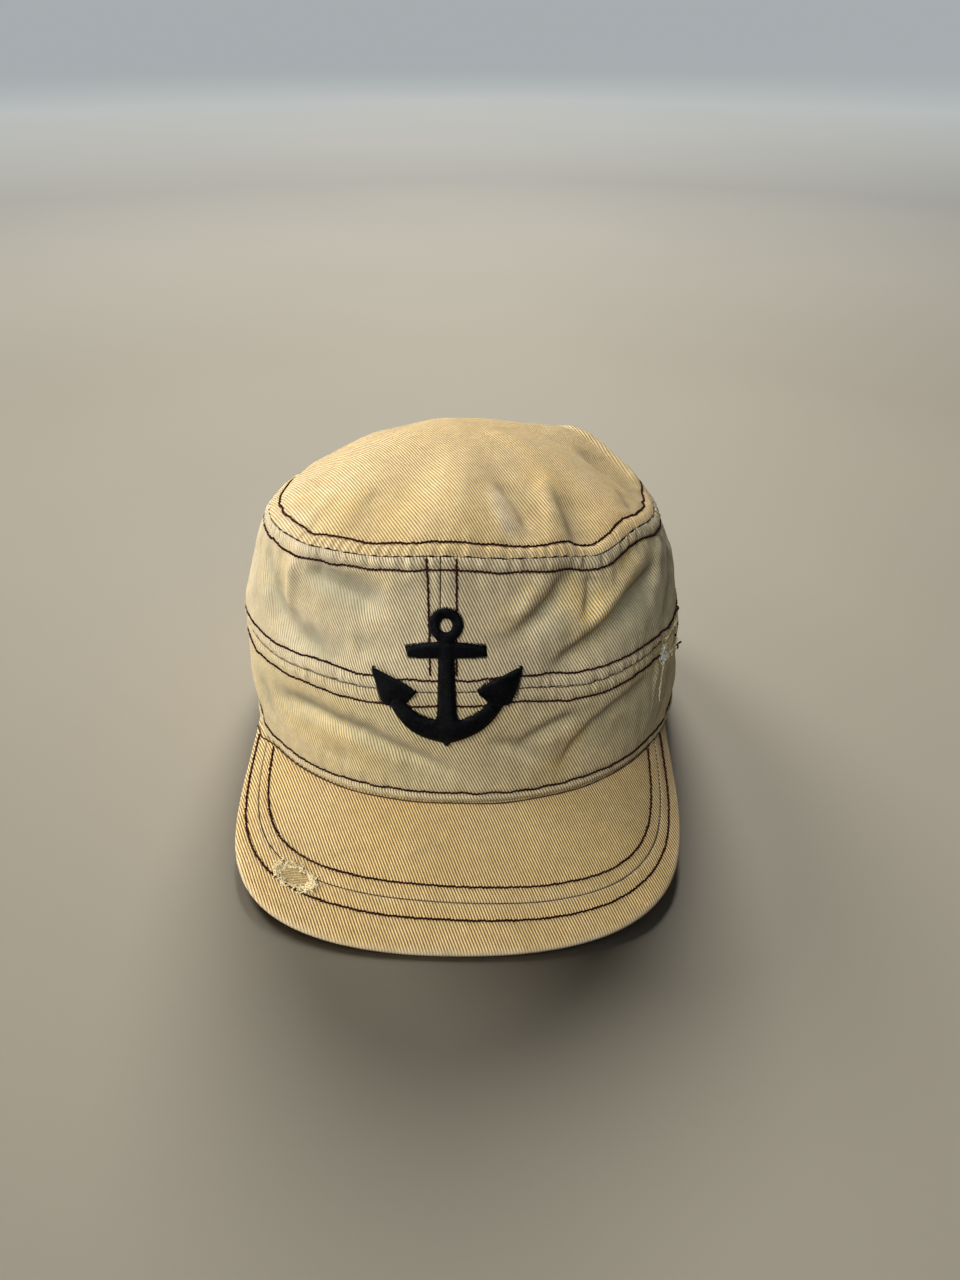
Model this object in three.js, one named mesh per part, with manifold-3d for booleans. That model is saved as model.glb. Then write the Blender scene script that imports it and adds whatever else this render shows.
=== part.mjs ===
// Soft cotton cadet cap, lying on the back of its rim and the edge of its peak.
// Millimetres, +Z up, the peak points to -Y. Angles run round the head from the front.
import * as THREE from 'three';
import Module from 'manifold-3d';

// Cloth and gaps
const clothThick = 1.5;
const facingThick = 1.5;
const gap = 0.3;
const seamSink = 0.5;

// Crown: sizes of the wall at even heights, from the rim to the top seam
const wallHeight = 85;
const wallSizes = [
  { halfWidth: 88, halfLength: 94, shift: 0 },
  { halfWidth: 90, halfLength: 95.3, shift: 0 },
  { halfWidth: 88, halfLength: 94.5, shift: 0 },
  { halfWidth: 84, halfLength: 88.8, shift: -3 },
  { halfWidth: 74.7, halfLength: 86.6, shift: -6 },
];
const ovalPower = 0.91;
const midSeamHeight = 41;
const frontRise = 7.8;
const domeHeight = 27;
const frontSeamDeg = -2.5;
const backSeamDeg = frontSeamDeg - 180;

// Peak: plan curves, with their half width, reach from the rim and depth of the corners
const edgeCurve = { halfWidth: 83.9, reach: 47.4, back: 0, skew: 0 };
const seamCurve = { halfWidth: 76.9, reach: 32.1, back: 1.6, skew: -0.03 };
const curveWidthPower = 0.85;
const curveReachPower = 0.28;
const slopeMidDeg = 28.9;
const slopeSideDeg = 11.5;
const peakTuck = 1.8;
const edgeLip = 3.5;
const lipRound = 1.1;
const facingInset = 4;

// How the cap lies: tilted back, with the cloth flattened where it touches
const tiltDeg = 7.1;
const restLift = 11.2;
const shiftBack = 22.25;

// Grid
const ringSteps = 88;
const peakSteps = 44;
const upperRows = [gap / 2, 2, 10, 18, 26, 34, 42, wallHeight - midSeamHeight - gap / 2];
const lowerRows = [0, 1.6, 10, 20, 30, midSeamHeight - 2, midSeamHeight - gap / 2];
const domeRows = [0.998, 0.974, 0.9, 0.79, 0.65, 0.47, 0.26];
const panelRows = [0, 0.22, 0.45, 0.7, 0.9, 1];
const borderRows = [0, 0.3, 0.62];

// Folds of the wall: from and to (degrees, height), half width and depth out of the cloth
const wallFolds = [
  { deg: -40, z: 80, toDeg: -72, toZ: 46, spread: 6, out: 2.2 },
  { deg: -57, z: 62, toDeg: -26, toZ: 50, spread: 7, out: -2.4 },
  { deg: -24, z: 73, toDeg: -22, toZ: 70, spread: 8, out: -1.8 },
  { deg: 32, z: 81, toDeg: 14, toZ: 57, spread: 6, out: -3.2 },
  { deg: 40, z: 76, toDeg: 22, toZ: 58, spread: 5, out: 1.8 },
  { deg: 54, z: 78, toDeg: 21, toZ: 47, spread: 7, out: -2.6 },
  { deg: 70, z: 72, toDeg: 62, toZ: 50, spread: 9, out: 1.6 },
  { deg: -46, z: 27, toDeg: -2, toZ: 13, spread: 7, out: -2.2 },
  { deg: -30, z: 32, toDeg: -8, toZ: 27, spread: 6, out: 1.2 },
  { deg: 50, z: 32, toDeg: 25, toZ: 12, spread: 6, out: -2.2 },
  { deg: 9, z: 22, toDeg: 16, toZ: 14, spread: 5, out: -1.4 },
  { deg: -80, z: 14, toDeg: -66, toZ: 8, spread: 7, out: -2.2 },
  { deg: -76, z: 0, toDeg: -60, toZ: 0, spread: 6, out: 2.8 },
  { deg: 118, z: 70, toDeg: 150, toZ: 40, spread: 9, out: -2.4 },
  { deg: -112, z: 66, toDeg: -146, toZ: 44, spread: 9, out: -2.2 },
  { deg: 158, z: 30, toDeg: 138, toZ: 12, spread: 8, out: -1.8 },
];

// Folds of the top panel: plan points, half width and rise
const topFolds = [
  { x: 14, y: -46, toX: 23, toY: -80, spread: 7, rise: -2.6 },
  { x: 42, y: -44, toX: 44, toY: -76, spread: 6, rise: -3.6 },
  { x: 33, y: -52, toX: 33, toY: -76, spread: 6, rise: 1.6 },
  { x: 62, y: -42, toX: 60, toY: -46, spread: 7, rise: -2.4 },
  { x: 44, y: 14, toX: 68, toY: 12, spread: 17, rise: 4.6 },
  { x: 30, y: -6, toX: 66, toY: -22, spread: 9, rise: -1.6 },
  { x: -64, y: -16, toX: -62, toY: 8, spread: 13, rise: -4.4 },
  { x: -50, y: -72, toX: -49, toY: -66, spread: 6, rise: -1.6 },
  { x: -12, y: -54, toX: -26, toY: -82, spread: 8, rise: -1.4 },
  { x: 0, y: -60, toX: 2, toY: -88, spread: 7, rise: 1.4 },
];

// Waves of the two seams: where, how wide and how high
const topSeamWaves = [
  { deg: -2, spread: 12, rise: 1.6 },
  { deg: 36, spread: 9, rise: -3 },
  { deg: 58, spread: 10, rise: 1.4 },
];
const midSeamWaves = [
  { deg: -34, spread: 9, rise: 0.9 },
  { deg: 12, spread: 9, rise: 1.5 },
  { deg: 27, spread: 8, rise: -1 },
];

const rad = THREE.MathUtils.degToRad;
const tilt = rad(tiltDeg);

// ---------- crown surface ----------

function signedPower(value, power) {
  return Math.sign(value) * Math.abs(value) ** power;
}

// Smooth value of one column of the wall table at a height
function wallSize(height, column) {
  const last = wallSizes.length - 1;
  const place = THREE.MathUtils.clamp(height / wallHeight, 0, 1) * last;
  const row = Math.min(Math.floor(place), last - 1);
  const near = wallSizes[row][column];
  const far = wallSizes[row + 1][column];
  const before = row > 0 ? wallSizes[row - 1][column] : 2 * near - far;
  const after = row < last - 1 ? wallSizes[row + 2][column] : 2 * far - near;
  const t = place - row;
  const slopeNear = (far - before) / 2;
  const slopeFar = (after - near) / 2;
  const rise = far - near;
  return near + t * slopeNear + t * t * (3 * rise - 2 * slopeNear - slopeFar)
    + t * t * t * (slopeNear + slopeFar - 2 * rise);
}

function waveRise(waves, deg) {
  let rise = 0;
  for (const wave of waves) {
    rise += wave.rise * Math.exp(-(((deg - wave.deg) / wave.spread) ** 2));
  }
  return rise;
}

// How near a point is to a fold line, from 0 to 1
function foldStrength(x, y, fromX, fromY, toX, toY, spread) {
  const alongX = toX - fromX;
  const alongY = toY - fromY;
  const length = Math.hypot(alongX, alongY);
  const t = ((x - fromX) * alongX + (y - fromY) * alongY) / (length * length);
  const held = THREE.MathUtils.clamp(t, 0, 1);
  const away = Math.hypot(x - fromX - held * alongX, y - fromY - held * alongY);
  return Math.exp(-((away / spread) ** 2));
}

// Plain oval wall, before its folds; waves carry the seams up and down
function plainWall(deg, height) {
  const angle = rad(deg);
  const x = wallSize(height, 'halfWidth') * signedPower(Math.sin(angle), ovalPower);
  const reach = wallSize(height, 'halfLength') * signedPower(Math.cos(angle), ovalPower);
  const y = wallSize(height, 'shift') - reach;
  const share = height / wallHeight;
  const midShare = Math.max(0, 1 - Math.abs(height - midSeamHeight) / midSeamHeight);
  const waves = share ** 2 * waveRise(topSeamWaves, deg) + midShare * waveRise(midSeamWaves, deg);
  const z = height + share * frontRise * Math.cos(angle) + waves;
  return new THREE.Vector3(x, y, z);
}

function faceNormal(surface, a, b, stepA, stepB) {
  const alongA = surface(a + stepA, b).sub(surface(a - stepA, b));
  const alongB = surface(a, b + stepB).sub(surface(a, b - stepB));
  return alongA.cross(alongB).normalize();
}

const degreeLength = (Math.PI / 180) * 90;

function wallPoint(deg, height) {
  const point = plainWall(deg, height);
  const normal = faceNormal(plainWall, deg, height, 0.5, 0.5);
  let out = 0;
  for (const fold of wallFolds) {
    const strength = foldStrength(deg * degreeLength, height, fold.deg * degreeLength, fold.z,
      fold.toDeg * degreeLength, fold.toZ, fold.spread);
    out += fold.out * strength;
  }
  return point.addScaledVector(normal, out);
}

function topPoint(deg, radius) {
  const centre = new THREE.Vector3(0, wallSizes.at(-1).shift, wallHeight);
  const edge = plainWall(deg, wallHeight);
  const folded = wallPoint(deg, wallHeight).sub(edge).multiplyScalar(radius ** 6);
  const point = edge.sub(centre).multiplyScalar(radius).add(centre).add(folded);
  let rise = domeHeight * (1 - radius ** 2);
  const fade = 1 - radius ** 8;
  for (const fold of topFolds) {
    const strength = foldStrength(point.x, point.y, fold.x, fold.y, fold.toX, fold.toY, fold.spread);
    rise += fold.rise * strength * fade;
  }
  point.z += rise;
  return point;
}

const wallNormal = (deg, height) => faceNormal(wallPoint, deg, height, 0.5, 0.4);
const topNormal = (deg, radius) => faceNormal(topPoint, deg, radius, 0.5, -0.01);

// Direction shared by the top panel and the wall where they meet, so that they mitre
function mitreNormal(deg) {
  return topNormal(deg, 0.985).add(wallNormal(deg, wallHeight - 1)).normalize();
}

// ---------- closed bodies ----------

// The cloth is flattened where it lies on the surface
function rest(point) {
  const height = point.z * Math.cos(tilt) - point.y * Math.sin(tilt) + restLift;
  if (height < 0) point.z -= height / Math.cos(tilt);
  return point;
}

function bodyGeometry(points, triangles) {
  const positions = points.flatMap((point) => rest(point.clone()).toArray());
  const geometry = new THREE.BufferGeometry();
  geometry.setAttribute('position', new THREE.Float32BufferAttribute(positions, 3));
  geometry.setIndex(triangles);
  if (enclosedVolume(points, triangles) < 0) {
    geometry.setIndex(triangles.reduce((turned, corner, i, all) => {
      if (i % 3 === 0) turned.push(corner, all[i + 2], all[i + 1]);
      return turned;
    }, []));
  }
  geometry.computeVertexNormals();
  return geometry;
}

function enclosedVolume(points, triangles) {
  let volume = 0;
  for (let i = 0; i < triangles.length; i += 3) {
    const [a, b, c] = [points[triangles[i]], points[triangles[i + 1]], points[triangles[i + 2]]];
    volume += a.dot(b.clone().cross(c)) / 6;
  }
  return volume;
}

// A body swept through equal loops of points; the loops close on themselves or end in caps
function sweep(loops, closed) {
  const size = loops[0].length;
  const points = loops.flat();
  const triangles = [];
  const last = closed ? loops.length : loops.length - 1;
  for (let i = 0; i < last; i += 1) {
    const here = i * size;
    const next = ((i + 1) % loops.length) * size;
    for (let j = 0; j < size; j += 1) {
      const k = (j + 1) % size;
      triangles.push(here + j, next + j, next + k, here + j, next + k, here + k);
    }
  }
  if (!closed) {
    const half = size / 2;
    const end = (loops.length - 1) * size;
    for (let j = 0; j < half - 1; j += 1) {
      const [a, b, c, d] = [j, j + 1, size - 2 - j, size - 1 - j];
      triangles.push(a, b, c, a, c, d);
      triangles.push(end + a, end + c, end + b, end + a, end + d, end + c);
    }
  }
  return { points, triangles };
}

// Loop of a wall band: up the outside, then down the inside
function bandLoop(deg, base, rows) {
  const outer = [];
  const inner = [];
  rows.forEach((row, i) => {
    const height = base + row;
    const atSeam = (i === 0 && base > 0) || i === rows.length - 1;
    const atTop = height > wallHeight - 1;
    const normal = atTop ? mitreNormal(deg) : wallNormal(deg, height);
    const face = wallPoint(deg, height);
    inner.unshift(face.clone().addScaledVector(normal, -clothThick));
    outer.push(face.addScaledVector(normal, atSeam ? -seamSink : 0));
  });
  return outer.concat(inner);
}

function bandBody(fromDeg, toDeg, steps, base, rows, closed) {
  const loops = [];
  const count = closed ? steps : steps + 1;
  for (let i = 0; i < count; i += 1) {
    loops.push(bandLoop(fromDeg + ((toDeg - fromDeg) * i) / steps, base, rows));
  }
  return sweep(loops, closed);
}

function crownTopBody() {
  const loops = [];
  for (let i = 0; i < ringSteps; i += 1) {
    const deg = backSeamDeg + (360 * i) / ringSteps;
    const outer = [];
    const inner = [];
    domeRows.forEach((radius, row) => {
      const normal = row === 0 ? mitreNormal(deg) : topNormal(deg, radius);
      const face = topPoint(deg, radius);
      inner.push(face.clone().addScaledVector(normal, -clothThick));
      outer.push(face.addScaledVector(normal, row === 0 ? -seamSink : 0));
    });
    loops.push(outer.concat(inner.reverse()));
  }
  const body = sweep(loops, true);
  return closePoles(body, loops);
}

// The innermost rings end in one middle point each instead of a wall between the faces
function closePoles(body, loops) {
  const size = loops[0].length;
  const rows = domeRows.length;
  const outerPole = body.points.length;
  const innerPole = outerPole + 1;
  const middle = topPoint(0, 0);
  body.points.push(middle, middle.clone().add(new THREE.Vector3(0, 0, -clothThick)));
  const isWall = (corner) => corner % size === rows - 1 || corner % size === rows;
  const kept = [];
  for (let i = 0; i < body.triangles.length; i += 3) {
    const corners = body.triangles.slice(i, i + 3);
    if (!corners.every(isWall)) kept.push(...corners);
  }
  loops.forEach((loop, i) => {
    const here = i * size;
    const next = ((i + 1) % loops.length) * size;
    kept.push(here + rows - 1, next + rows - 1, outerPole);
    kept.push(next + rows, here + rows, innerPole);
  });
  return { points: body.points, triangles: kept };
}

// ---------- peak ----------

function rimY(x) {
  const { halfWidth, halfLength } = wallSizes[0];
  const sine = Math.min(Math.abs(x) / halfWidth, 0.9999) ** (1 / ovalPower);
  return -halfLength * Math.sqrt(1 - sine * sine) ** ovalPower;
}

// Top face of the peak: it falls away from the rim, less steeply at the sides
function peakFace(x, y) {
  const away = Math.max(0, rimY(x) - y);
  const side = (x / wallSizes[0].halfWidth) ** 2;
  const slope = rad(THREE.MathUtils.lerp(slopeMidDeg, slopeSideDeg, side));
  return new THREE.Vector3(x, y, -gap - away * Math.tan(slope));
}

// Evenly spaced plan points of a peak curve from one meeting with the rim to the other
function planCurve(curve) {
  const points = [];
  const fine = 3000;
  for (let i = 1; i < fine; i += 1) {
    const angle = Math.PI * (i / fine - 0.5);
    const x = curve.halfWidth * signedPower(Math.sin(angle), curveWidthPower);
    const full = wallSizes[0].halfLength + curve.back + curve.reach;
    const y = curve.back - full * Math.cos(angle) ** curveReachPower + curve.skew * x;
    if (y < rimY(x)) points.push(new THREE.Vector2(x, y));
  }
  return points;
}

function rimCurve(fromX, toX) {
  const points = [];
  const turn = (x) => Math.asin(signedPower(x / wallSizes[0].halfWidth, 1 / ovalPower));
  const fine = 400;
  for (let i = 0; i <= fine; i += 1) {
    const angle = THREE.MathUtils.lerp(turn(fromX), turn(toX), i / fine);
    const x = wallSizes[0].halfWidth * signedPower(Math.sin(angle), ovalPower);
    points.push(new THREE.Vector2(x, rimY(x)));
  }
  return points;
}

function evenly(points) {
  const lengths = [0];
  for (let i = 1; i < points.length; i += 1) {
    lengths.push(lengths[i - 1] + points[i].distanceTo(points[i - 1]));
  }
  const spaced = [];
  let i = 1;
  for (let step = 0; step <= peakSteps; step += 1) {
    const target = (lengths.at(-1) * step) / peakSteps;
    while (i < points.length - 1 && lengths[i] < target) i += 1;
    const t = (target - lengths[i - 1]) / (lengths[i] - lengths[i - 1]);
    spaced.push(points[i - 1].clone().lerp(points[i], THREE.MathUtils.clamp(t, 0, 1)));
  }
  return spaced;
}

// Move a curve sideways in plan; plus is towards the head
function inset(points, distance) {
  return points.map((point, i) => {
    const before = points[Math.max(i - 1, 0)];
    const after = points[Math.min(i + 1, points.length - 1)];
    const along = after.clone().sub(before).normalize();
    return new THREE.Vector2(point.x - along.y * distance, point.y + along.x * distance);
  });
}

function below(point, depth) {
  const face = (x, y) => peakFace(x, y);
  const normal = faceNormal(face, point.x, point.y, 0.4, 0.4);
  return peakFace(point.x, point.y).addScaledVector(normal, -depth);
}

// Flat strip of cloth between two plan curves, with its top face at a depth under the peak's
function stripBody(innerCurve, outerCurve, depth, thick) {
  const loops = innerCurve.map((from, i) => {
    const top = panelRows.map((row) => below(from.clone().lerp(outerCurve[i], row), depth));
    const under = panelRows.map((row) => (
      below(from.clone().lerp(outerCurve[i], row), depth + thick)));
    return top.concat(under.reverse());
  });
  return sweep(loops, false);
}

// The border folds round the edge of the peak and ends in a short lip underneath
function borderBody(innerCurve, outerCurve) {
  const full = clothThick + gap + facingThick;
  const loops = innerCurve.map((from, i) => {
    const to = outerCurve[i];
    const width = from.distanceTo(to);
    const lip = Math.min(edgeLip, width * 0.55);
    const round = Math.min(lipRound, width * 0.2);
    const at = (back, depth) => below(to.clone().lerp(from, back / width), depth);
    const top = borderRows.map((row) => at(width * (1 - row), 0));
    const under = borderRows.map((row) => at(lip + (width - lip) * (1 - row), clothThick));
    return [...top, at(round, 0), at(0, full * 0.3), at(0, full * 0.7),
      at(round, full), at(lip, full), at(lip, clothThick), ...under.reverse()];
  });
  return sweep(loops, false);
}

function peakBodies() {
  const edge = planCurve(edgeCurve);
  const seam = planCurve(seamCurve);
  const [edgeEnd, seamEnd] = [edge[0].x, seam[0].x];
  const edgeLine = evenly(edge);
  const sides = [rimCurve(edgeEnd, seamEnd), rimCurve(seam.at(-1).x, edge.at(-1).x)];
  const borderInner = evenly([...sides[0], ...seam, ...sides[1]]);
  const panelOuter = evenly(seam);
  const panelInner = evenly(rimCurve(seamEnd, seam.at(-1).x));
  const facingInner = evenly(rimCurve(edgeEnd, edge.at(-1).x));
  const tucked = borderInner.map((point, i, all) => {
    const onRim = point.y > rimY(point.x) - 0.5;
    return inset(all, onRim ? peakTuck : -gap / 2)[i];
  });
  const facingOuter = edgeLine.map((point, i) => (
    point.clone().lerp(tucked[i], (edgeLip + 2 * gap) / tucked[i].distanceTo(point))));
  const middle = (curve) => curve.slice(facingInset, -facingInset);
  return {
    inner: stripBody(inset(panelInner, peakTuck), inset(panelOuter, gap / 2), 0, clothThick),
    border: borderBody(tucked, edgeLine),
    facing: stripBody(middle(inset(facingInner, peakTuck)), middle(facingOuter), clothThick + gap,
      facingThick),
  };
}

// ---------- emblem: a plain embroidered anchor ----------

const emblemCentre = { x: -3, height: 46 };
const emblemArch = 1.12;
const emblemRing = { v: 17.3, radius: 4, halfWidth: 1.7, steps: 16, height: 1.2, base: 0.15 };
const emblemArms = { v: -1.5, radius: 16.5, fromDeg: 200, toDeg: 340, steps: 12 };

// Points of a stroke: right and up from the emblem's middle, and half width
const armPoints = [];
for (let i = 0; i <= emblemArms.steps; i += 1) {
  const share = i / emblemArms.steps;
  const angle = rad(THREE.MathUtils.lerp(emblemArms.fromDeg, emblemArms.toDeg, share));
  const u = emblemArms.radius * emblemArch * Math.cos(angle);
  const v = emblemArms.v + emblemArms.radius * Math.sin(angle);
  armPoints.push([u, v, 4 - 1.6 * Math.abs(2 * share - 1)]);
}
const shankPoints = [[0, 13.5, 2.3], [0, 6, 2.6], [0, -2, 2.9], [0, -10, 3.2], [0, -17, 3.8]];
const stockPoints = [[-13, 8.6, 2.2], [-6, 9.2, 2.5], [0, 9.3, 2.6], [6, 9.2, 2.5], [13, 8.6, 2.2]];
const tipPoints = [[0, -15.5, 5.2], [0, -19, 3.2], [0, -23, 0.4]];
const flukePoints = (side) => (
  [[10.5 * side, -4.6, 0.6], [14 * side, -4.6, 3.4], [19 * side, -5.6, 5.6], [25 * side, 2.6, 0.5]]);
// Each stroke has its own height and raised base, so that no two faces lie in one
const emblemStrokes = [
  { height: 1.5, base: 0, points: shankPoints },
  { height: 1.3, base: 0.06, points: stockPoints },
  { height: 1.4, base: 0.03, points: armPoints },
  { height: 1.2, base: 0.09, points: flukePoints(-1) },
  { height: 1.2, base: 0.09, points: flukePoints(1) },
  { height: 1.25, base: 0.12, points: tipPoints },
];

function onWall(u, v, out) {
  const height = emblemCentre.height + v;
  const x = emblemCentre.x + u;
  const deg = THREE.MathUtils.radToDeg(
    Math.asin(signedPower(x / wallSize(height, 'halfWidth'), 1 / ovalPower)));
  return wallPoint(deg, height).addScaledVector(wallNormal(deg, height), gap + out);
}

// A raised stroke with soft shoulders; its loop runs over the top and back along the base
function strokeBody(stroke, closed) {
  const { points, height, base } = stroke;
  const loops = points.map(([u, v, half], i) => {
    const before = points[closed ? (i + points.length - 1) % points.length : Math.max(i - 1, 0)];
    const after = points[closed ? (i + 1) % points.length : Math.min(i + 1, points.length - 1)];
    const along = new THREE.Vector2(after[0] - before[0], after[1] - before[1]).normalize();
    const across = (share, out) => (
      onWall(u - along.y * half * share, v + along.x * half * share, out));
    const low = base + 0.5 * (height - base);
    return [across(-1, base), across(-1, low), across(-0.45, height),
      across(0.45, height), across(1, low), across(1, base)];
  });
  return sweep(loops, closed);
}

function ringStroke() {
  const { v, radius, halfWidth, steps, height, base } = emblemRing;
  const points = [];
  for (let i = 0; i < steps; i += 1) {
    const angle = (2 * Math.PI * i) / steps;
    points.push([radius * Math.cos(angle), v + radius * Math.sin(angle), halfWidth]);
  }
  return strokeBody({ height, base, points }, true);
}

async function emblemGeometry() {
  const kernel = await Module();
  kernel.setup();
  const { Manifold, Mesh } = kernel;
  const solid = (body) => {
    const geometry = bodyGeometry(body.points, body.triangles);
    return new Manifold(new Mesh({
      numProp: 3,
      vertProperties: new Float32Array(geometry.attributes.position.array),
      triVerts: new Uint32Array(geometry.index.array),
    }));
  };
  const parts = emblemStrokes.map((stroke) => solid(strokeBody(stroke, false)));
  parts.push(solid(ringStroke()));
  const joined = Manifold.union(parts).getMesh();
  const geometry = new THREE.BufferGeometry();
  geometry.setAttribute('position', new THREE.BufferAttribute(joined.vertProperties, 3));
  geometry.setIndex(Array.from(joined.triVerts));
  geometry.computeVertexNormals();
  return geometry;
}

// ---------- the cap ----------

function cloth(name, geometry, color) {
  const material = new THREE.MeshStandardMaterial({ color, roughness: 0.92, metalness: 0 });
  material.name = `${name}_cloth`;
  const mesh = new THREE.Mesh(geometry, material);
  mesh.name = name;
  return mesh;
}

const plain = (body) => bodyGeometry(body.points, body.triangles);
const seamHalf = gap / 2 / degreeLength;
const halfSteps = ringSteps / 2;
const leftBand = bandBody(backSeamDeg + seamHalf, frontSeamDeg - seamHalf, halfSteps,
  midSeamHeight, upperRows, false);
const rightBand = bandBody(frontSeamDeg + seamHalf, backSeamDeg + 360 - seamHalf, halfSteps,
  midSeamHeight, upperRows, false);
const lowerBand = bandBody(backSeamDeg, backSeamDeg + 360, ringSteps, 0, lowerRows, true);
const peak = peakBodies();

const crown = new THREE.Group();
crown.name = 'crown';
crown.add(
  cloth('crown_top', plain(crownTopBody()), 0xcdb583),
  cloth('upper_band_left', plain(leftBand), 0xc6b084),
  cloth('upper_band_right', plain(rightBand), 0xc0aa7e),
  cloth('lower_band', plain(lowerBand), 0xc2ab7c),
  cloth('front_emblem', await emblemGeometry(), 0x17161c),
);

const visor = new THREE.Group();
visor.name = 'peak';
visor.add(
  cloth('peak_inner_panel', plain(peak.inner), 0xc2a672),
  cloth('peak_border', plain(peak.border), 0xc4a873),
  cloth('peak_facing', plain(peak.facing), 0xb99f6e),
);

const cap = new THREE.Group();
cap.name = 'cadet_cap';
cap.rotation.x = -tilt;
cap.position.set(0, shiftBack, restLift);
cap.add(crown, visor);

export default cap;
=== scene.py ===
import bpy
import random
import numpy as np
from math import atan2, cos, degrees, hypot, pi, radians, sin
from mathutils import Matrix, Vector
from mathutils.bvhtree import BVHTree


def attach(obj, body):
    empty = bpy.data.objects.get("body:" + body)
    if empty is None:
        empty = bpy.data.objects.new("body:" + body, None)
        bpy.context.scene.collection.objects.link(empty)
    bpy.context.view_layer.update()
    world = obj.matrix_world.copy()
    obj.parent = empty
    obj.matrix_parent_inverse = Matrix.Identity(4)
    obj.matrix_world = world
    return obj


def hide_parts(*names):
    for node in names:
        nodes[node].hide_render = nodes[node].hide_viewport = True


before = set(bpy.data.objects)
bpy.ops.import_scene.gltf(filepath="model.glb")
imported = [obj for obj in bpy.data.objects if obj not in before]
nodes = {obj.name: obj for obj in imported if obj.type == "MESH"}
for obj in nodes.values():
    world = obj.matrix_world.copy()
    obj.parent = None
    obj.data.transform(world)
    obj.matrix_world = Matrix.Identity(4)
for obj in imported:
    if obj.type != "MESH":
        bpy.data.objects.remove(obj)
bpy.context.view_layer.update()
random.seed(11)
uniform = random.uniform
mm = 0.001

# the cap lies tilted back; in its own frame the rim is level at height 0
capPose = {"tilt": 7.1, "shiftBack": 22.25, "lift": 11.2}
capToWorld = Matrix.Translation((0, capPose["shiftBack"] * mm, capPose["lift"] * mm)) \
    @ Matrix.Rotation(-radians(capPose["tilt"]), 4, "X") @ Matrix.Scale(mm, 4)
worldToCap = capToWorld.inverted()


def toCap(points):  # metres in the world to millimetres in the cap's frame
    turn = np.array(worldToCap)
    return points @ turn[:3, :3].T + turn[:3, 3]


def toWorld(points):
    turn = np.array(capToWorld)
    return points @ turn[:3, :3].T + turn[:3, 3]


def meshPoints(obj):
    points = np.empty(len(obj.data.vertices) * 3)
    obj.data.vertices.foreach_get("co", points)
    return points.reshape(-1, 3)


def placeCloth(obj, points):  # from the cap's frame, and nothing under the floor
    placed = toWorld(points)
    placed[:, 2] = np.maximum(placed[:, 2], 0.0)
    obj.data.vertices.foreach_set("co", placed.ravel())
    obj.data.update()


def deselectAll():
    for obj in bpy.context.selected_objects:
        obj.select_set(False)


def activate(obj):
    deselectAll()
    obj.select_set(True)
    bpy.context.view_layer.objects.active = obj


def newObject(name, data):
    obj = bpy.data.objects.new(name, data)
    bpy.context.scene.collection.objects.link(obj)
    return obj


# materials
def newMaterial(name):
    material = bpy.data.materials.new(name)
    material.use_nodes = True
    tree = material.node_tree
    tree.nodes.clear()
    shader = addNode(tree, "BsdfPrincipled")
    addNode(tree, "OutputMaterial", {"Surface": shader.outputs["BSDF"]})
    return material, tree, shader, addNode(tree, "TexCoord").outputs["Object"]


def isSocket(value):
    return isinstance(value, bpy.types.NodeSocket)


def plug(node, inputs):  # a socket is linked, a number or a colour is set
    for name, value in inputs.items():
        socket = node.inputs[name]
        if isSocket(value):
            node.id_data.links.new(value, socket)
        else:
            socket.default_value = (*value, 1) if isinstance(value, tuple) else value


def addNode(tree, kind, inputs=None, **settings):
    node = tree.nodes.new("ShaderNode" + kind)
    for name, value in settings.items():
        setattr(node, name, value)
    plug(node, inputs or {})
    return node


def maths(operation, a, b=0.0, clamp=False):
    tree = (a if isSocket(a) else b).id_data
    return addNode(tree, "Math", {0: a, 1: b}, operation=operation, use_clamp=clamp).outputs[0]


def add(a, b, clamp=False):
    return maths("ADD", a, b, clamp)


def times(a, b, clamp=False):
    return maths("MULTIPLY", a, b, clamp)


def mixColours(amount, a, b, blend="MIX"):
    tree = next(value for value in (amount, a, b) if isSocket(value)).id_data
    node = addNode(tree, "Mix", {0: amount, 6: a, 7: b}, data_type="RGBA", blend_type=blend)
    return node.outputs[2]


def noiseOf(vector, scale, detail=2.0, roughness=0.5):
    return addNode(vector.id_data, "TexNoise", {
        "Vector": vector, "Scale": scale, "Detail": detail, "Roughness": roughness}).outputs["Fac"]


def remap(value, low, high, newLow=0.0, newHigh=1.0):
    ends = {"Value": value, "From Min": low, "From Max": high, "To Min": newLow, "To Max": newHigh}
    return addNode(value.id_data, "MapRange", ends).outputs["Result"]


def finishShader(shader, colour, height, strength, depth, roughness, sheen, shine):
    bump = addNode(shader.id_data, "Bump", {"Strength": strength, "Distance": depth, "Height": height})
    plug(shader, {"Base Color": colour, "Normal": bump.outputs["Normal"], "Roughness": roughness,
                  "Sheen Weight": sheen, "Specular IOR Level": shine})


twillCloth = {
    "slant": 66,  # degrees of the wales above the weft
    "float": 1.5,  # length of one float of yarn on a wale
    "floatShift": 0.37,  # from one wale to the next
    "drift": 0.5, "wander": 0.16,  # how far a wale strays, in wales
    "puckerPitch": 2.3,  # small pleats beside a seam
    "paleColour": (0.92, 0.82, 0.60), "paleShare": 0.7, "stainShare": 0.7,
    "frayColour": (0.50, 0.385, 0.185),
    "waleHeight": 0.75, "floatHeight": 0.18, "fibreHeight": 0.25, "pleatHeight": 0.7,
    "bump": 0.00022, "bumpStrength": 0.85,
    "roughness": (0.82, 0.96), "sheen": 0.08, "sheenRoughness": 0.6, "shine": 0.2,
}
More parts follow.
